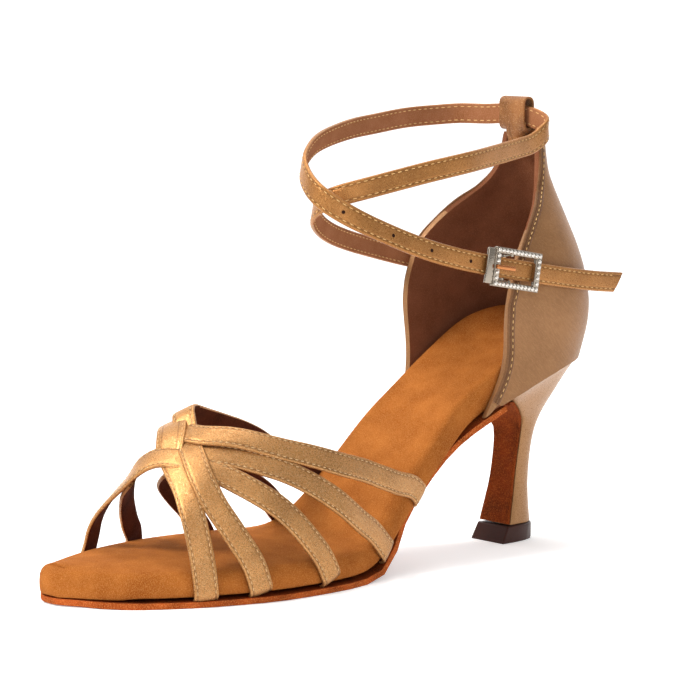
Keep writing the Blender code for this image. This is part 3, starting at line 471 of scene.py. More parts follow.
@dataclass(frozen=True)
class Cup:
    """The counter's outer wall, for what is laid on it.

    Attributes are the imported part's sizes in millimetres.
    """

    last: Last
    depth: float = 30.0
    top: float = 145.0

    def section(self, level: float, side: int) -> list[Vector]:
        """Points from the front edge on one side to the middle of the back."""
        half = self.last.seat / 2 * read(COUNTER, "half", level)
        middle = self.last.seat / 2 * read(COUNTER, "middle", level)
        back = self.depth * read(COUNTER, "back", level)
        bend = self.depth * read(COUNTER, "bend", level)
        edge = self.depth * read(COUNTER, "lateral" if side > 0 else "medial", level)
        points = []
        for i in range(41):
            y = back - (back - edge) * (1 - math.cos(math.pi * i / 80))
            if y > back - bend:
                x = half * math.sqrt(max(1 - ((y - back + bend) / bend) ** 2, 0.0))
            else:
                x = half * (1 - 0.08 * ((back - bend - y) / self.depth) ** 2)
            points.append(Vector((middle + side * x, y, 0)))
        return list(reversed(points))

    def point(self, side: int, reach: float, v: float) -> Vector:
        """A point of the outer wall, a reach behind the front edge and a share v up."""
        z = self.last.seat_height + (self.top - self.last.seat_height) * v
        place = Vector()
        for _ in range(6):
            level = (z - self.last.seat_height) / (self.top - self.last.seat_height)
            left = reach
            run = self.section(level, side)
            for a, b in zip(run, run[1:]):
                step = (b - a).length
                place = a.lerp(b, min(left / step, 1.0))
                if left <= step:
                    break
                left -= step
            share = (place.y - self.last.setback) / self.last.length + 1
            low = self.last.feather(min(share, 1.0), side)
            z = low + (self.top - low) * v
        place.z = z
        return place

    def edge_route(self, side: int, reach: float, low: float, high: float, count: int) -> Route:
        """A line up the wall beside its front edge."""
        centres, normals = [], []
        for i in range(count):
            v = low + (high - low) * i / (count - 1)
            here = self.point(side, reach, v)
            up = self.point(side, reach, min(v + 0.02, 1.0)) - self.point(side, reach, v - 0.02)
            back = self.point(side, reach + 2.0, v) - here
            out = up.cross(back) * -side
            centres.append(here)
            normals.append(out.normalized())
        return Route(centres, normals)


def linear(code: str) -> tuple[float, float, float, float]:
    """A colour for a shader from its sRGB hex code."""
    values = [int(code[i:i + 2], 16) / 255 for i in (1, 3, 5)]
    spread = [v / 12.92 if v <= 0.04045 else ((v + 0.055) / 1.055) ** 2.4 for v in values]
    return (*spread, 1.0)


class Graph:
    """A material's node tree, with one short way to add a node."""

    def __init__(self, name: str) -> None:
        """Makes the material.

        Args:
            name: The material's name.
        """
        self.material = bpy.data.materials.new(name)
        self.material.use_nodes = True
        self.tree = self.material.node_tree
        self.shader = self.tree.nodes["Principled BSDF"]

    def set(self, node: bpy.types.Node, **inputs: object) -> bpy.types.Node:
        """Fills a node's inputs with values or with other nodes' outputs."""
        for key, value in inputs.items():
            self.feed(node.inputs[key.replace("_", " ")], value)
        return node

    def feed(self, socket: bpy.types.NodeSocket, value: object) -> None:
        """Gives one input a value or another node's output."""
        if isinstance(value, bpy.types.NodeSocket):
            self.tree.links.new(value, socket)
        else:
            socket.default_value = value

    def add(self, kind: str, settings: dict[str, object] | None = None,
            **inputs: object) -> bpy.types.Node:
        """Adds a node with its settings and inputs."""
        node = self.tree.nodes.new(kind)
        for key, value in (settings or {}).items():
            setattr(node, key, value)
        return self.set(node, **inputs)

    def place(self) -> bpy.types.NodeSocket:
        """Coordinates that stay on the object."""
        return self.add("ShaderNodeTexCoord").outputs["Object"]

    def noise(self, size: float, detail: float = 2.0) -> bpy.types.NodeSocket:
        """Noise whose blotches are about this many millimetres wide."""
        node = self.add("ShaderNodeTexNoise", Vector=self.place(), Scale=1 / (size * MM),
                        Detail=detail)
        return node.outputs["Fac"]

    def cells(self, size: float) -> bpy.types.Node:
        """Small cells of this many millimetres, each with a colour of its own."""
        return self.add("ShaderNodeTexVoronoi", Vector=self.place(), Scale=1 / (size * MM))

    def spread(self, value: object, low: float, high: float,
               to_low: float, to_high: float) -> bpy.types.NodeSocket:
        """Maps a range of a value to another range."""
        node = self.add("ShaderNodeMapRange", Value=value)
        for key, number in zip(("From Min", "From Max", "To Min", "To Max"), (low, high, to_low, to_high)):
            node.inputs[key].default_value = number
        return node.outputs["Result"]

    def blend(self, factor: object, first: object, second: object) -> bpy.types.NodeSocket:
        """Mixes two colours."""
        node = self.add("ShaderNodeMix", {"data_type": "RGBA"})
        for index, value in ((0, factor), (6, first), (7, second)):
            self.feed(node.inputs[index], value)
        return node.outputs[2]

    def math(self, operation: str, *values: object) -> bpy.types.NodeSocket:
        """A sum, difference or other plain operation on one to three values."""
        node = self.add("ShaderNodeMath", {"operation": operation})
        for socket, value in zip(node.inputs, values):
            self.feed(socket, value)
        return node.outputs[0]

    def sum(self, first: object, second: object, weight: float) -> bpy.types.NodeSocket:
        """The first value plus a weighted second one."""
        return self.math("MULTIPLY_ADD", second, weight, first)

    def bump(self, height: object, depth: float) -> None:
        """Gives the shader a relief this many millimetres deep."""
        node = self.add("ShaderNodeBump", Height=height, Distance=depth * MM, Strength=1.0)
        self.set(self.shader, Normal=node.outputs["Normal"])


@dataclass(frozen=True)
class Satin:
    """Pearly satin: fine threads with a soft metallic glow, painted glints, and painted shade along the
    pinched stitch lines.

    Attributes:
        name: The material's name.
        base: Its colour between light and shade.
        light: Colour of the painted glints.
        dark: Colour of the darker patches and threads, and of the painted shade along the stitch lines.
        painted_glint_share: Share of the small grains that get a painted glint.
        grain: Width of a grain in millimetres.
        metal: How metallic it looks.
        rough: How dull it is.
        seam: Distance of the stitch lines from the strap's middle in millimetres.
        patches: How strongly its broad patches show.
        threads: How strongly its slanted threads show.
        relief: Depth of its threads and wrinkles in millimetres.
    """

    name: str
    base: str
    light: str
    dark: str
    painted_glint_share: float = 0.2
    grain: float = 0.3
    metal: float = 0.3
    rough: float = 0.42
    seam: float = 3.0
    patches: float = 0.25
    threads: float = 0.5
    relief: float = 0.06

    def build(self) -> bpy.types.Material:
        """The finished material."""
        g = Graph(self.name)
        # Painted glints: the weave breaks up into grains, and a share of them get the glint colour painted
        # into the base colour, as if each caught the light at its own angle
        cells = g.cells(self.grain)
        tint = g.add("ShaderNodeSeparateColor", Color=cells.outputs["Color"])
        # grain: the mask of grains that get the painted glint colour
        grain = g.spread(tint.outputs["Red"], 1 - self.painted_glint_share, 1.0, 0.0, 0.55)
        # Handling leaves broad, faint lighter and darker patches
        patches = g.spread(g.noise(9.0, 2.0), 0.35, 0.65, self.patches, 0.0)
        colour = g.blend(patches, linear(self.base), linear(self.dark))
        colour = g.blend(grain, colour, linear(self.light))
        # Satin's threads lie on the slant and shimmer in fine streaks
        slant = g.add("ShaderNodeMapping", {"vector_type": "TEXTURE"}, Vector=g.place(),
                      Rotation=(0.8, 0.3, 0.0), Scale=(1.0, 1.0, 10.0))
        streaks = g.add("ShaderNodeTexNoise", Vector=slant.outputs["Vector"], Scale=1 / (0.5 * MM),
                        Detail=2.0).outputs["Fac"]
        shade = g.spread(streaks, 0.35, 0.65, self.threads * 0.35, 0.0)
        colour = g.blend(shade, colour, linear(self.dark))
        # Painted shade: the satin is darkened in a band on both sides of each stitch line, where the
        # pinched groove lies in shade
        across = g.add("ShaderNodeAttribute", {"attribute_name": "across"}).outputs["Fac"]
        away = g.math("ABSOLUTE", g.math("SUBTRACT", g.math("ABSOLUTE", across), self.seam))
        seam_shade = g.spread(away, 0.1, 0.45, 0.6, 0.0)
        colour = g.blend(seam_shade, colour, linear(self.dark))
        rough = g.spread(tint.outputs["Green"], 0.0, 1.0, self.rough - 0.1, self.rough + 0.15)
        g.set(g.shader, Base_Color=colour, Roughness=rough, Metallic=self.metal,
              Specular_IOR_Level=0.25)
        # Fine threads and shallow wrinkles
        height = g.sum(g.noise(self.grain * 1.6), tint.outputs["Blue"], 0.4)
        height = g.sum(height, streaks, self.threads * 1.5)
        g.bump(g.sum(height, g.noise(2.6), 1.2), self.relief)
        return g.material


@dataclass(frozen=True)
class Suede:
    """Brushed suede or soft lining: a dull nap with soft lighter and darker strokes."""

    name: str
    base: str
    light: str
    dark: str
    nap: float = 0.5
    depth: float = 0.16

    def build(self) -> bpy.types.Material:
        """The finished material."""
        g = Graph(self.name)
        # The nap lies in strokes a few millimetres wide
        strokes = g.spread(g.noise(9.0, 4.0), 0.3, 0.7, 0.0, 1.0)
        fibres = g.noise(self.nap, 3.0)
        colour = g.blend(strokes, linear(self.dark), linear(self.base))
        colour = g.blend(g.spread(fibres, 0.45, 0.75, 0.0, 0.75), colour, linear(self.light))
        g.set(g.shader, Base_Color=colour, Roughness=0.95, Specular_IOR_Level=0.06)
        # Short fibres stand up all over it
        g.bump(g.sum(fibres, g.noise(0.22), 0.7), self.depth)
        return g.material


@dataclass(frozen=True)
class Plain:
    """A simple solid finish: plastic, thread, polished metal or cut stone."""

    name: str
    base: str
    rough: float
    metal: float = 0.0
    coat: float = 0.0
    grain: float = 0.0
    spec: float = 0.5

    def build(self) -> bpy.types.Material:
        """The finished material."""
        g = Graph(self.name)
        g.set(g.shader, Base_Color=linear(self.base), Roughness=self.rough, Metallic=self.metal,
              Coat_Weight=self.coat)
        if not self.metal:
            g.set(g.shader, Specular_IOR_Level=self.spec)
        if self.grain:
            # Wear and handling leave the surface slightly uneven
            g.bump(g.noise(self.grain), 0.03)
        return g.material


class Wardrobe:
    """All the finishes, built once."""

    def __init__(self) -> None:
        """Builds the materials."""
        self.strap = Satin("strap_satin", "#B8834D", "#EBC894", "#6E4526", 0.35, 0.2, 0.72, 0.34,
                           threads=0.3, relief=0.08).build()
        self.ankle = Satin("ankle_satin", "#AD7640", "#D4A468", "#6A4322", 0.16, 0.22, 0.55, 0.35,
                           seam=2.4, threads=0.3).build()
        self.loop = Satin("loop_satin", "#A56E40", "#D9AC78", "#5E3A20", 0.2, 0.25, 0.4, 0.4,
                          patches=0.6, threads=0.2, relief=0.25).build()
        self.satin = Satin("counter_satin", "#9A6E47", "#B38A60", "#74502F", 0.12, 0.2, 0.25, 0.42,
                           patches=0.25, threads=0.9, relief=0.03).build()
        self.heel = Satin("heel_satin", "#A2764C", "#C39A6C", "#7A5533", 0.06, 0.2, 0.35, 0.34,
                          patches=0.1, threads=0.4, relief=0.02).build()
        self.binding = Satin("binding_satin", "#7E5636", "#A57C52", "#4E321C", 0.12, 0.22, 0.25, 0.42,
                             seam=0.5).build()
        self.lining = Suede("lining", "#7E4E36", "#8F5F46", "#6C4029", 0.35, 0.04).build()
        self.ankle_lining = Suede("ankle_lining", "#9E6848", "#B07B58", "#8A5838", 0.35, 0.05).build()
        self.strap_lining = Suede("strap_lining", "#562C1D", "#74422E", "#3A1A0F", 0.3, 0.08).build()
        self.sock = Suede("sock_suede", "#AA6228", "#CC8A4A", "#8E4B19", 0.3, 0.2).build()
        self.edge = Suede("raw_edge", "#CC5E26", "#F09A58", "#8A3A12", 0.35, 0.5).build()
        self.sole = Suede("sole_suede", "#863812", "#AE5C28", "#56230C", 0.45, 0.35).build()
        self.tip = Plain("tip_plastic", "#3A1C14", 0.34, grain=0.6, spec=0.2).build()
        self.thread = Plain("thread", "#D9AE72", 0.6, spec=0.2).build()
        self.pale_thread = Plain("pale_thread", "#DDBB8A", 0.6, spec=0.2).build()
        self.silver = Plain("silver", "#9C9184", 0.16, metal=1.0, grain=0.8).build()
        self.rose = Plain("rose_gold", "#C07C4C", 0.2, metal=1.0).build()
        self.stone = Plain("clear_stone", "#DAD4CC", 0.06, metal=0.85, coat=0.6).build()
        # Painted shade: the dark colour of the discs that stand for the shade inside the punched holes
        self.hole = Plain("hole_shade", "#2A150C", 0.8, spec=0.1).build()


def add_piece(name: str, bm: bmesh.types.BMesh, materials: Sequence[bpy.types.Material],
              slot: Slot, replaces: Sequence[str] = ()) -> bpy.types.Object:
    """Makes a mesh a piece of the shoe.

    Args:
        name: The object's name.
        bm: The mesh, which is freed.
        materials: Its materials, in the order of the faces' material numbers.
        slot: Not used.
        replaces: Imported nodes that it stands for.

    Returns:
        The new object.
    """
    mesh = bpy.data.meshes.new(name)
    bm.to_mesh(mesh)
    bm.free()
    mesh.shade_smooth()
    mesh.set_sharp_from_angle(angle=SHARP_TURN)
    for material in materials:
        mesh.materials.append(material)
    piece = bpy.data.objects.new(name, mesh)
    bpy.context.scene.collection.objects.link(piece)
    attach(piece, "root")
    if replaces:
        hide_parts(*replaces)
    LOG.info("%s: %d faces", name, len(mesh.polygons))
    return piece


def add_loop(bm: bmesh.types.BMesh, points: Sequence[Vector]) -> list[bmesh.types.BMEdge]:
    """A closed loop of edges through points in millimetres."""
    verts = [bm.verts.new(point * MM) for point in points]
    return [bm.edges.new((a, b)) for a, b in zip(verts, verts[1:] + verts[:1])]


@dataclass(frozen=True)
class StrapShape:
    """The section of a padded strap with a stitch line along each edge.

    Attributes:
        width: Full width in millimetres.
        thickness: Full thickness in millimetres.
        seam: Distance of the stitch lines from the middle, or none.
        puff: How far its middle stands out, in millimetres.
        groove: Depth of the stitch lines in millimetres.
        slant: How far the last end is cut back on one side, in millimetres.
    """

    width: float
    thickness: float
    seam: float | None = None
    puff: float = 0.16
    groove: float = 0.16
    slant: float = 0.0

    def level(self, across: float) -> float:
        """Height of the outer face over the middle line."""
        lift = self.puff * (2 * across / self.width) ** 2
        if self.seam is not None:
            lift += self.groove * math.exp(-(((abs(across) - self.seam) / 0.34) ** 2))
        return self.thickness / 2 - lift

    def section(self) -> list[tuple[float, float]]:
        """Across and outward places of the section's points."""
        half, low = self.width / 2, -self.thickness / 2
        edge = min(0.55, half / 3)
        top = [(half - edge) * (1 - i / 9) for i in range(19)]
        points = [(x, self.level(x)) for x in top]
        end = self.level(top[-1])
        turns = [math.pi * k / 5 for k in range(1, 5)]
        middle, rise = (end + low) / 2, (end - low) / 2
        rim = [(half - edge + edge * math.sin(t), middle + rise * math.cos(t)) for t in turns]
        points += [(-x, w) for x, w in rim]
        points += [((half - edge) * (i / 3 - 1), low) for i in range(7)]
        return points + list(reversed(rim))

    def sweep(self, bm: bmesh.types.BMesh, route: Route) -> None:
        """Adds the strap along a route, with the lining's material number on its inner face.

        Args:
            bm: The mesh to add to.
            route: The strap's middle line.
        """
        section = self.section()
        spread = bm.verts.layers.float.new("across")
        last = len(route.centres) - 1
        loops = []
        for i, centre in enumerate(route.centres):
            along, out, across = route.frame_at(i)
            skew = self.slant * ease(i, last - 5, last) * 2 / self.width
            points = [centre + across * u + out * w + along * skew * u for u, w in section]
            edges = add_loop(bm, points)
            for edge, (u, _) in zip(edges, section):
                edge.verts[0][spread] = u
            loops.append(edges)
        for first, second in zip(loops, loops[1:]):
            bmesh.ops.bridge_loops(bm, edges=first + second)
        for loop in (loops[0], loops[-1]):
            bmesh.ops.holes_fill(bm, edges=loop, sides=len(section))
        self.paint_lining(bm, route)
        bmesh.ops.recalc_face_normals(bm, faces=bm.faces)

    def paint_lining(self, bm: bmesh.types.BMesh, route: Route) -> None:
        """Gives the faces that look inward the lining's material number."""
        for face in bm.faces:
            centre = face.calc_center_median() / MM
            gaps = [(here - centre).length_squared for here in route.centres]
            i = gaps.index(min(gaps))
            _, out, _ = route.frame_at(i)
            face.material_index = int((centre - route.centres[i]).dot(out) < -self.thickness * 0.35)


@dataclass(frozen=True)
class Stitch:
    """A row of stitches.

    Attributes:
        pitch: Distance from stitch to stitch in millimetres.
        length: Length of the thread that shows.
        width: Thickness of the thread.
    """

    pitch: float
    length: float
    width: float

    def sew(self, bm: bmesh.types.BMesh, route: Route, across: float, out: float,
            bare: float = 3.0) -> None:
        """Adds the stitches beside a route.

        Args:
            bm: The mesh to add to.
            route: The middle line that they follow.
            across: Their distance to the side of it.
            out: Their height over it.
            bare: Length without stitches at each end.
        """
        count = int((route.lengths()[-1] - 2 * bare) / self.pitch)
        for k in range(count):
            place, along, normal, side = route.at(bare + (k + 0.5) * self.pitch)
            centre = (place + side * across + normal * out) * MM
            turn = Matrix((along, side, normal)).transposed().to_4x4()
            half, thin = self.length / 2 * MM, self.width / 2 * MM
            size = Matrix.Diagonal((half, thin, thin, 1.0))
            bmesh.ops.create_icosphere(bm, subdivisions=1, radius=1.0,
                                       matrix=Matrix.Translation(centre) @ turn @ size)


class Vamp:
    """The woven toe straps with their stitches."""

    def __init__(self, last: Last, looks: Wardrobe) -> None:
        """Keeps the shape and the finishes.

        Args:
            last: The last that the straps lie on.
            looks: The finishes.
        """
        self.last = last
        self.looks = looks
        self.strap = StrapShape(8.2, 1.5, 3.0)
        self.keeper = StrapShape(11.0, 1.5, 4.4, puff=0.3)
        self.stitch = Stitch(2.1, 1.45, 0.3)
        self.lift = 0.14

    def build(self) -> None:
        """Makes the straps and their stitches."""
        routes = {name: self.last.form_route(rows) for name, rows in FORM_STRAPS.items()}
        routes.update({name: self.last.medial_route(rows) for name, rows in MEDIAL_STRAPS.items()})
        seams = bmesh.new()
        for name, route in routes.items():
            shape = self.keeper if name == "keeper" else self.strap
            route = route.eased(6)
            if name != "keeper":
                route = route.tucked(0.9, 4, at_end=name in MEDIAL_STRAPS)
            bm = bmesh.new()
            shape.sweep(bm, route)
            add_piece("strap_" + name, bm, (self.looks.strap, self.looks.strap_lining),
                      Slot.STRAP, ("vamp_straps",))
            for side in (-1, 1):
                self.stitch.sew(seams, route, side * shape.seam, shape.level(shape.seam) + self.lift)
        add_piece("strap_stitches", seams, (self.looks.pale_thread,), Slot.STRAP)


class AnkleStrap:
    """The long strap with its stitches, its jewelled buckle and dark discs of painted shade for its holes.
    """

    def __init__(self, looks: Wardrobe) -> None:
        """Keeps the finishes and reads the route.

        Args:
            looks: The finishes.
        """
        self.looks = looks
        self.width = 62.0
        self.length = 108.0
        self.top = 145.0
        self.lean = 12.0
        self.straight = 34
        self.hole = 0.65
        self.shape = StrapShape(7.2, 1.6, 2.4, slant=-2.2)
        self.stitch = Stitch(2.5, 1.7, 0.38)
        self.buckle_back = 23.0
        self.route = self.make_route()

    def make_route(self) -> Route:
        """The middle line from the medial end, round the ankle, to the free end."""
        rows = [(x * self.width, y * self.length, z * self.top) for x, y, z in ANKLE_ROUTE]
        step = 1.5
        run = catmull(rows, lambda a, b: (Vector(a) - Vector(b)).length / step)
        centres = [Vector(row) for row in run]
        middle = Vector((-0.03 * self.width, -0.36 * self.length, 0))
        normals = []
        last = len(centres) - 1
        for i, centre in enumerate(centres):
            heading = centres[min(i + 1, last)] - centres[max(i - 1, 0)]
            normal = heading.cross(Vector((0, 0, 1)))
            out = Vector((centre.x - middle.x, centre.y - middle.y, 0))
            near_end = i >= last - self.straight
            if (near_end and normal.x < 0) or (not near_end and normal.dot(out) < 0):
                normal.negate()
            lean = math.radians(self.lean) * ease(-centre.y / self.length, 0.35, 0.75)
            normals.append(normal.normalized() * math.cos(lean) + Vector((0, 0, math.sin(lean))))
        return Route(centres, normals).eased(5)

    def buckle_length(self) -> float:
        """Length along the route at the buckle's middle."""
        lengths = self.route.lengths()
        centres = self.route.centres
        i = max(k for k in range(len(centres) - 1) if centres[k].y <= -self.buckle_back)
        share = (-self.buckle_back - centres[i].y) / (centres[i + 1].y - centres[i].y)
        return lengths[i] + share * (lengths[i + 1] - lengths[i])

    def build(self) -> None:
        """Makes the strap, its stitches and the painted shade of its punched holes."""
        bm = bmesh.new()
        self.shape.sweep(bm, self.route)
        add_piece("ankle_strap_surface", bm, (self.looks.ankle, self.looks.ankle_lining),
                  Slot.STRAP, ("ankle_strap",))
        seams = bmesh.new()
        seam, half = self.shape.seam, self.shape.thickness / 2
        for side in (-1, 1):
            self.stitch.sew(seams, self.route, side * seam, self.shape.level(seam) + 0.1)
            self.stitch.sew(seams, self.route, side * seam, -half - 0.02)
        add_piece("ankle_stitches", seams, (self.looks.thread,), Slot.STRAP)
        self.paint_hole_shades()

    def paint_hole_shades(self) -> None:
        """Adds dark discs of painted shade for the punched holes between the front and the buckle."""
        buckle = self.buckle_length()
        bm = bmesh.new()
        for back in HOLES:
            place, along, out, across = self.route.at(buckle - back)
            turn = Matrix((along, across, out)).transposed().to_4x4()
            centre = (place + out * (self.shape.thickness / 2 + 0.06)) * MM
            matrix = Matrix.Translation(centre) @ turn
            bmesh.ops.create_circle(bm, cap_ends=True, segments=16, radius=self.hole * MM, matrix=matrix)
        add_piece("hole_shades", bm, (self.looks.hole,), Slot.STRAP)


@dataclass(frozen=True)
class BuckleSize:
    """Sizes of the buckle in millimetres."""

    length: float = 22.4
    height: float = 13.6
    border: float = 2.6
    side: float = 2.1
    thickness: float = 2.0
    clearance: float = 0.35
    bar: float = 1.2
    bar_place: float = 0.13
    rail: float = 3.4
    prong: float = 1.6
    stone: float = 0.82


class Buckle:
    """A rectangular frame set with stones, with a smooth rail and a prong."""

    def __init__(self, strap: AnkleStrap, looks: Wardrobe, size: BuckleSize) -> None:
        """Places the buckle on the strap.

        Args:
            strap: The strap that carries it.
            looks: The finishes.
            size: Its sizes.
        """
        self.looks = looks
        self.size = size
        place, along, out, _ = strap.route.at(strap.buckle_length())
        up = along.cross(out)
        if up.z < 0:
            up.negate()
        self.low = strap.shape.thickness / 2 + size.clearance
        self.matrix = Matrix.Translation(place * MM) @ Matrix((along, out, up)).transposed().to_4x4()

    def block(self, bm: bmesh.types.BMesh, low: Row, high: Row, edge: float) -> None:
        """Adds a box with rounded edges, in along, outward and upward millimetres."""
        centre = [(a + b) / 2 * MM for a, b in zip(low, high)]
        size = [(b - a) * MM for a, b in zip(low, high)]
        matrix = Matrix.Translation(centre) @ Matrix.Diagonal((*size, 1.0))
        made = bmesh.ops.create_cube(bm, size=1.0, matrix=matrix)["verts"]
        edges = list({e for v in made for e in v.link_edges})
        bmesh.ops.bevel(bm, geom=edges, offset=edge * MM, offset_type="OFFSET", segments=3, profile=0.5,
                        affect="EDGES", material=-1, clamp_overlap=True)

    def build(self) -> None:
        """Makes the frame, the rail, the bar, the prong and the stones."""
        s = self.size
        half, tall = s.length / 2, s.height / 2
        low, high = self.low, self.low + s.thickness
        rim = high - 0.35
        bm = bmesh.new()
        inner_x, inner_z = half - s.border, tall - s.side
        short = tall - 0.6
        # Top and bottom sides of the frame, then its two ends
        for bottom, top in ((inner_z, tall), (-tall, -inner_z)):
            self.block(bm, (-half, low, bottom), (half, rim, top), 0.35)
        for left, right in ((inner_x, half), (-half, -inner_x)):
            self.block(bm, (left, low, -inner_z - 0.4), (right, rim, inner_z + 0.4), 0.35)
        # The smooth rail at the front end
        self.block(bm, (-half - s.rail, low + 0.15, -short), (-half + 0.5, high - 0.7, short), 0.5)
        # The bar behind the strap and the posts that join it to the frame
        bar = -s.bar_place * s.length
        left, right = bar - s.bar / 2, bar + s.bar / 2
        self.block(bm, (left, -low - s.bar, -short), (right, -low, short), 0.25)
        for sign in (-1, 1):
            bottom, top = sorted((sign * 4.1, sign * short))
            self.block(bm, (left, -low - s.bar, bottom), (right, high - 0.9, top), 0.2)
        bmesh.ops.transform(bm, matrix=self.matrix, verts=bm.verts)
        add_piece("buckle_body", bm, (self.looks.silver,), Slot.BUCKLE, ("buckle_frame",))
        bm = bmesh.new()
        thin = s.prong / 2
        self.block(bm, (-half + 0.4, high - 0.5, -thin), (bar + 1.2, high + 0.6, thin), 0.4)
        bmesh.ops.transform(bm, matrix=self.matrix, verts=bm.verts)
        add_piece("buckle_prong", bm, (self.looks.rose,), Slot.BUCKLE)
        self.set_stones(half, tall, rim)

    def set_stones(self, half: float, tall: float, face: float) -> None:
        """Adds round cut stones all round the frame, each with a flat table on top."""
        s = self.size
        bm = bmesh.new()
        spots = []
        pitch = 2.2 * s.stone
        wide, high = half - s.border / 2, tall - s.side / 2
        count = round(2 * wide / pitch)
        for i in range(count + 1):
            t = -wide + 2 * wide * i / count
            spots += [(t, high), (t, -high)]
        count = round(2 * high / pitch)
        for i in range(1, count):
            z = -high + 2 * high * i / count
            spots += [(wide, z), (-wide, z)]
        for t, z in spots:
            # The girdle and the crown of one stone
            for depth, low_r, high_r, rise in ((0.35, 1.0, 0.92, 0.1), (0.4, 0.92, 0.55, 0.45)):
                turn = Matrix.Rotation(-math.pi / 2, 4, "X")
                seat = Matrix.Translation((t * MM, (face + rise) * MM, z * MM)) @ turn
                bmesh.ops.create_cone(bm, cap_ends=True, segments=8, radius1=s.stone * low_r * MM,
                                      radius2=s.stone * high_r * MM, depth=depth * MM, matrix=seat)
        bmesh.ops.transform(bm, matrix=self.matrix, verts=bm.verts)
        stones = add_piece("buckle_stones", bm, (self.looks.stone,), Slot.BUCKLE)
        stones.data.shade_flat()


class Refined:
    """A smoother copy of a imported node."""

    def __init__(self, node: str, slot: Slot, materials: Sequence[bpy.types.Material]) -> None:
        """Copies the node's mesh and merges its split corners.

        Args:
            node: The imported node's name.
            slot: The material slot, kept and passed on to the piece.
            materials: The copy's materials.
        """
        self.node = node
        self.slot = slot
        self.materials = materials
        self.bm = bmesh.new()
        self.bm.from_mesh(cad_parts[node].data)
        bmesh.ops.remove_doubles(self.bm, verts=self.bm.verts, dist=0.01 * MM)
        bmesh.ops.join_triangles(self.bm, faces=self.bm.faces, angle_face_threshold=math.radians(30),
                                 angle_shape_threshold=math.radians(50))
        for face in self.bm.faces:
            face.material_index = 0

    def paint(self, rule: Callable[[Vector, Vector], int]) -> "Refined":
        """Gives each face the material number that a rule finds from its centre and normal."""
        for face in self.bm.faces:
            face.material_index = rule(face.calc_center_median() / MM, face.normal)
        return self

    def soften(self, degrees: float, levels: int) -> bpy.types.Object:
        """Rounds the copy by subdivision, keeping edges sharper than an angle.

        Args:
            degrees: Edges between faces that turn more than this stay sharp.
            levels: How often it is subdivided.

        Returns:
            The new object.
        """
        crease = self.bm.edges.layers.float.new("crease_edge")
        for edge in self.bm.edges:
            if edge.is_manifold and edge.calc_face_angle(0.0) > math.radians(degrees):
                edge[crease] = 0.85
        piece = self.finish()
        modifier = piece.modifiers.new("round", "SUBSURF")
        modifier.levels = levels
        modifier.render_levels = levels
        return piece

    def round_edges(self, width: float) -> bpy.types.Object:
        """Rounds the copy's edges by a small bevel, in millimetres."""
        piece = self.finish()
        modifier = piece.modifiers.new("edges", "BEVEL")
        modifier.width = width * MM
        modifier.segments = 3
        modifier.limit_method = "ANGLE"
        modifier.angle_limit = BEVEL_TURN
        return piece

    def finish(self) -> bpy.types.Object:
        """Makes the copy a piece that stands for its node."""
        bmesh.ops.recalc_face_normals(self.bm, faces=self.bm.faces)
        return add_piece(self.node + "_surface", self.bm, self.materials, self.slot, (self.node,))


class Counter:
    """The closed back: satin outside, lining inside, bound and stitched front edges."""

    def __init__(self, cup: Cup, looks: Wardrobe) -> None:
        """Keeps the shape and the finishes."""
        self.cup = cup
        self.looks = looks

    def build(self) -> None:
        """Makes the wall, the binding and the stitches."""

        def rule(centre: Vector, normal: Vector) -> int:
            """Satin outside, lining where a face looks to the cup's middle, binding in front."""
            away = Vector((centre.x, centre.y, 0)) - CUP_MIDDLE
            if normal.dot(away.normalized()) >= -0.15:
                return 0
            return 2 if normal.y < -0.85 and centre.y < 0 else 1

        looks = (self.looks.satin, self.looks.lining, self.looks.binding)
        Refined("counter", Slot.SATIN, looks).paint(rule).soften(50, 2)
        strip = StrapShape(3.3, 0.9, 0.5, puff=0.2, groove=0.1)
        seams = bmesh.new()
        stitch = Stitch(2.2, 1.5, 0.38)
        rise = 0.25
        for side, name in ((-1, "medial_binding"), (1, "lateral_binding")):
            route = self.cup.edge_route(side, 1.75, 0.03, 0.985, 70)
            bm = bmesh.new()
            strip.sweep(bm, route.offset(0.0, rise))
            add_piece(name, bm, (self.looks.binding, self.looks.binding), Slot.SATIN)
            stitch.sew(seams, route, strip.seam, rise + strip.level(strip.seam) + 0.1, 2.0)
        add_piece("binding_stitches", seams, (self.looks.thread,), Slot.SATIN)


class Sole:
    """Insole, outsole, heel and tip, with the small straps at the back."""

    def __init__(self, looks: Wardrobe) -> None:
        """Keeps the finishes."""
        self.looks = looks

    def build(self) -> None:
        """Makes the parts under the foot."""
        looks = self.looks
        Refined("insole", Slot.SOCK, (looks.sock,)).soften(60, 2)
        outsole = Refined("outsole", Slot.SOLE, (looks.sole, looks.edge))
        outsole.paint(lambda centre, normal: int(abs(normal.z) < 0.6)).round_edges(0.35)
        Refined("heel", Slot.SATIN, (looks.heel,)).soften(45, 2)
        Refined("heel_tip", Slot.TIP, (looks.tip,)).round_edges(0.45)
        Refined("heel_breast_cover", Slot.SOLE, (looks.sole,)).round_edges(0.25)
        self.build_loop()
        Refined("buckle_tab", Slot.STRAP, (looks.ankle,)).round_edges(0.15)

    def build_loop(self) -> None:
        """Makes the back loop and the hem that runs down behind it."""
        looks = self.looks
        Refined("back_loop", Slot.STRAP, (looks.loop,)).round_edges(0.4)
        rows = [(-2.6, 5.6, 148.0), (-2.5, 5.9, 145.6), (-2.3, 7.4, 143.4), (-2.1, 10.0, 141.6),
                (-2.0, 12.0, 139.5)]
        centres = [Vector(row) for row in catmull(rows, lambda a, b: 3.0)]
        normals = [Vector((0, -0.8, 0.6)) for _ in centres]
        bm = bmesh.new()
        StrapShape(10.0, 0.9).sweep(bm, Route(centres, normals))
        add_piece("loop_hem", bm, (looks.loop, looks.loop), Slot.STRAP)


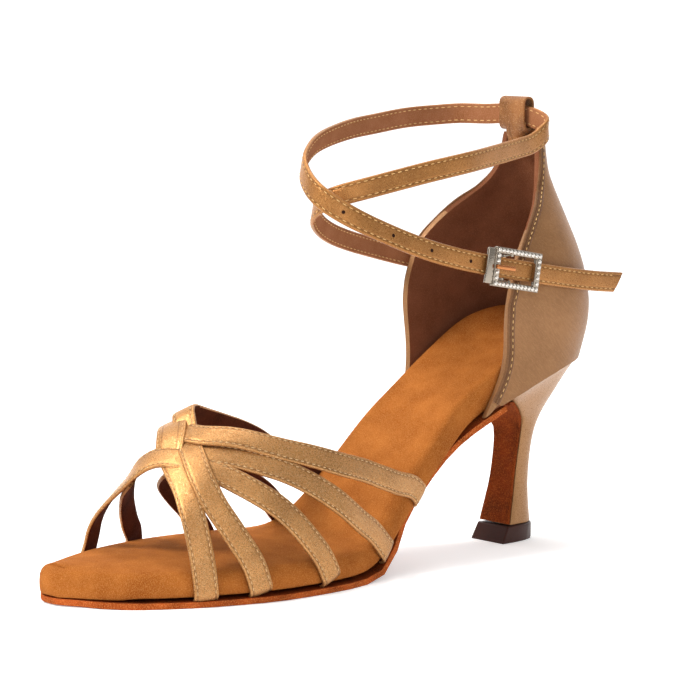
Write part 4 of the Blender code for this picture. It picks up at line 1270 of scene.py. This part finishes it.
@dataclass(frozen=True)
class Lamp:
    """A soft area light.

    Attributes:
        name: Its name.
        place: Where it is, in metres.
        aim: What it looks at, in metres.
        size: Its side in metres.
        power: Its power in watts.
        tint: Its colour.
    """

    name: str
    place: Row
    aim: Row
    size: float
    power: float
    tint: str = "#FFFFFF"

    def hang(self) -> None:
        """Adds the light to the scene."""
        data = bpy.data.lights.new(self.name, "AREA")
        data.size = self.size
        data.energy = self.power
        data.color = linear(self.tint)[:3]
        lamp = bpy.data.objects.new(self.name, data)
        lamp.location = self.place
        lamp.rotation_mode = "QUATERNION"
        lamp.rotation_quaternion = (Vector(self.place) - Vector(self.aim)).to_track_quat("Z", "Y")
        bpy.context.scene.collection.objects.link(lamp)


class Studio:
    """White floor, soft lights and the camera."""

    CAMERA_PLACE = (0.833516, -0.764849, 0.201928)
    CAMERA_FORWARD = (-0.764059, 0.634296, -0.117819)
    CAMERA_RIGHT = (0.638745, 0.769418, 0.0)
    CAMERA_UP = (-0.090652, 0.075257, 0.993035)
    LENS = 164.62

    def build(self) -> None:
        """Sets up the floor, the wall, the lights and the camera."""
        floor = self.sheet("studio_floor", 6.0, Matrix.Identity(4), 0.36)
        forward = Vector((self.CAMERA_FORWARD[0], self.CAMERA_FORWARD[1], 0)).normalized()
        turn = forward.to_track_quat("Z", "Y").to_matrix().to_4x4()
        wall = self.sheet("studio_wall", 6.0, Matrix.Translation(forward * 4.0) @ turn, 1.0)
        world = bpy.data.worlds.new("studio")
        world.use_nodes = True
        background = world.node_tree.nodes["Background"].inputs
        background["Color"].default_value = (1, 1, 1, 1)
        background["Strength"].default_value = 0.5
        bpy.context.scene.world = world
        for lamp in (
            Lamp("key", (-0.3, -0.9, 1.0), (0.0, -0.08, 0.04), 0.4, 14.0, "#FFFDF8"),
            Lamp("top", (-0.2, 0.1, 1.1), (0.0, -0.08, 0.04), 0.6, 6.0),
            Lamp("front", (1.0, -0.6, 0.5), (0.0, -0.06, 0.06), 0.5, 2.2),
        ):
            lamp.hang()
        self.aim_camera()
        bpy.context.scene.view_settings.view_transform = "Standard"
        bpy.context.scene.view_settings.look = "None"

    def sheet(self, name: str, half: float, place: Matrix, glow: float) -> bpy.types.Object:
        """A white sheet that also glows a little, so that it stays white in the distance."""
        bm = bmesh.new()
        bmesh.ops.create_grid(bm, x_segments=1, y_segments=1, size=half, matrix=place)
        mesh = bpy.data.meshes.new(name)
        bm.to_mesh(mesh)
        bm.free()
        sheet = bpy.data.objects.new(name, mesh)
        bpy.context.scene.collection.objects.link(sheet)
        graph = Graph(name)
        graph.set(graph.shader, Base_Color=linear("#F0F0F0"), Roughness=0.9, Emission_Strength=glow,
                  Emission_Color=(1, 1, 1, 1), Specular_IOR_Level=0.0)
        mesh.materials.append(graph.material)
        return sheet

    def aim_camera(self) -> None:
        """Places the camera."""
        data = bpy.data.cameras.new("camera")
        data.lens = self.LENS
        data.sensor_width = 36.0
        data.clip_start, data.clip_end = 0.05, 20.0
        camera = bpy.data.objects.new("camera", data)
        forward = Vector(self.CAMERA_FORWARD)
        turn = Matrix((self.CAMERA_RIGHT, self.CAMERA_UP, -forward)).transposed().to_4x4()
        camera.matrix_world = Matrix.Translation(self.CAMERA_PLACE) @ turn
        bpy.context.scene.collection.objects.link(camera)
        bpy.context.scene.camera = camera


def main() -> None:
    """Builds the whole picture."""
    logging.basicConfig(level=logging.INFO)
    looks = Wardrobe()
    last = Last()
    Sole(looks).build()
    Counter(Cup(last), looks).build()
    Vamp(last, looks).build()
    strap = AnkleStrap(looks)
    strap.build()
    Buckle(strap, looks, BuckleSize()).build()
    Studio().build()


if __name__ == "__main__":
    main()
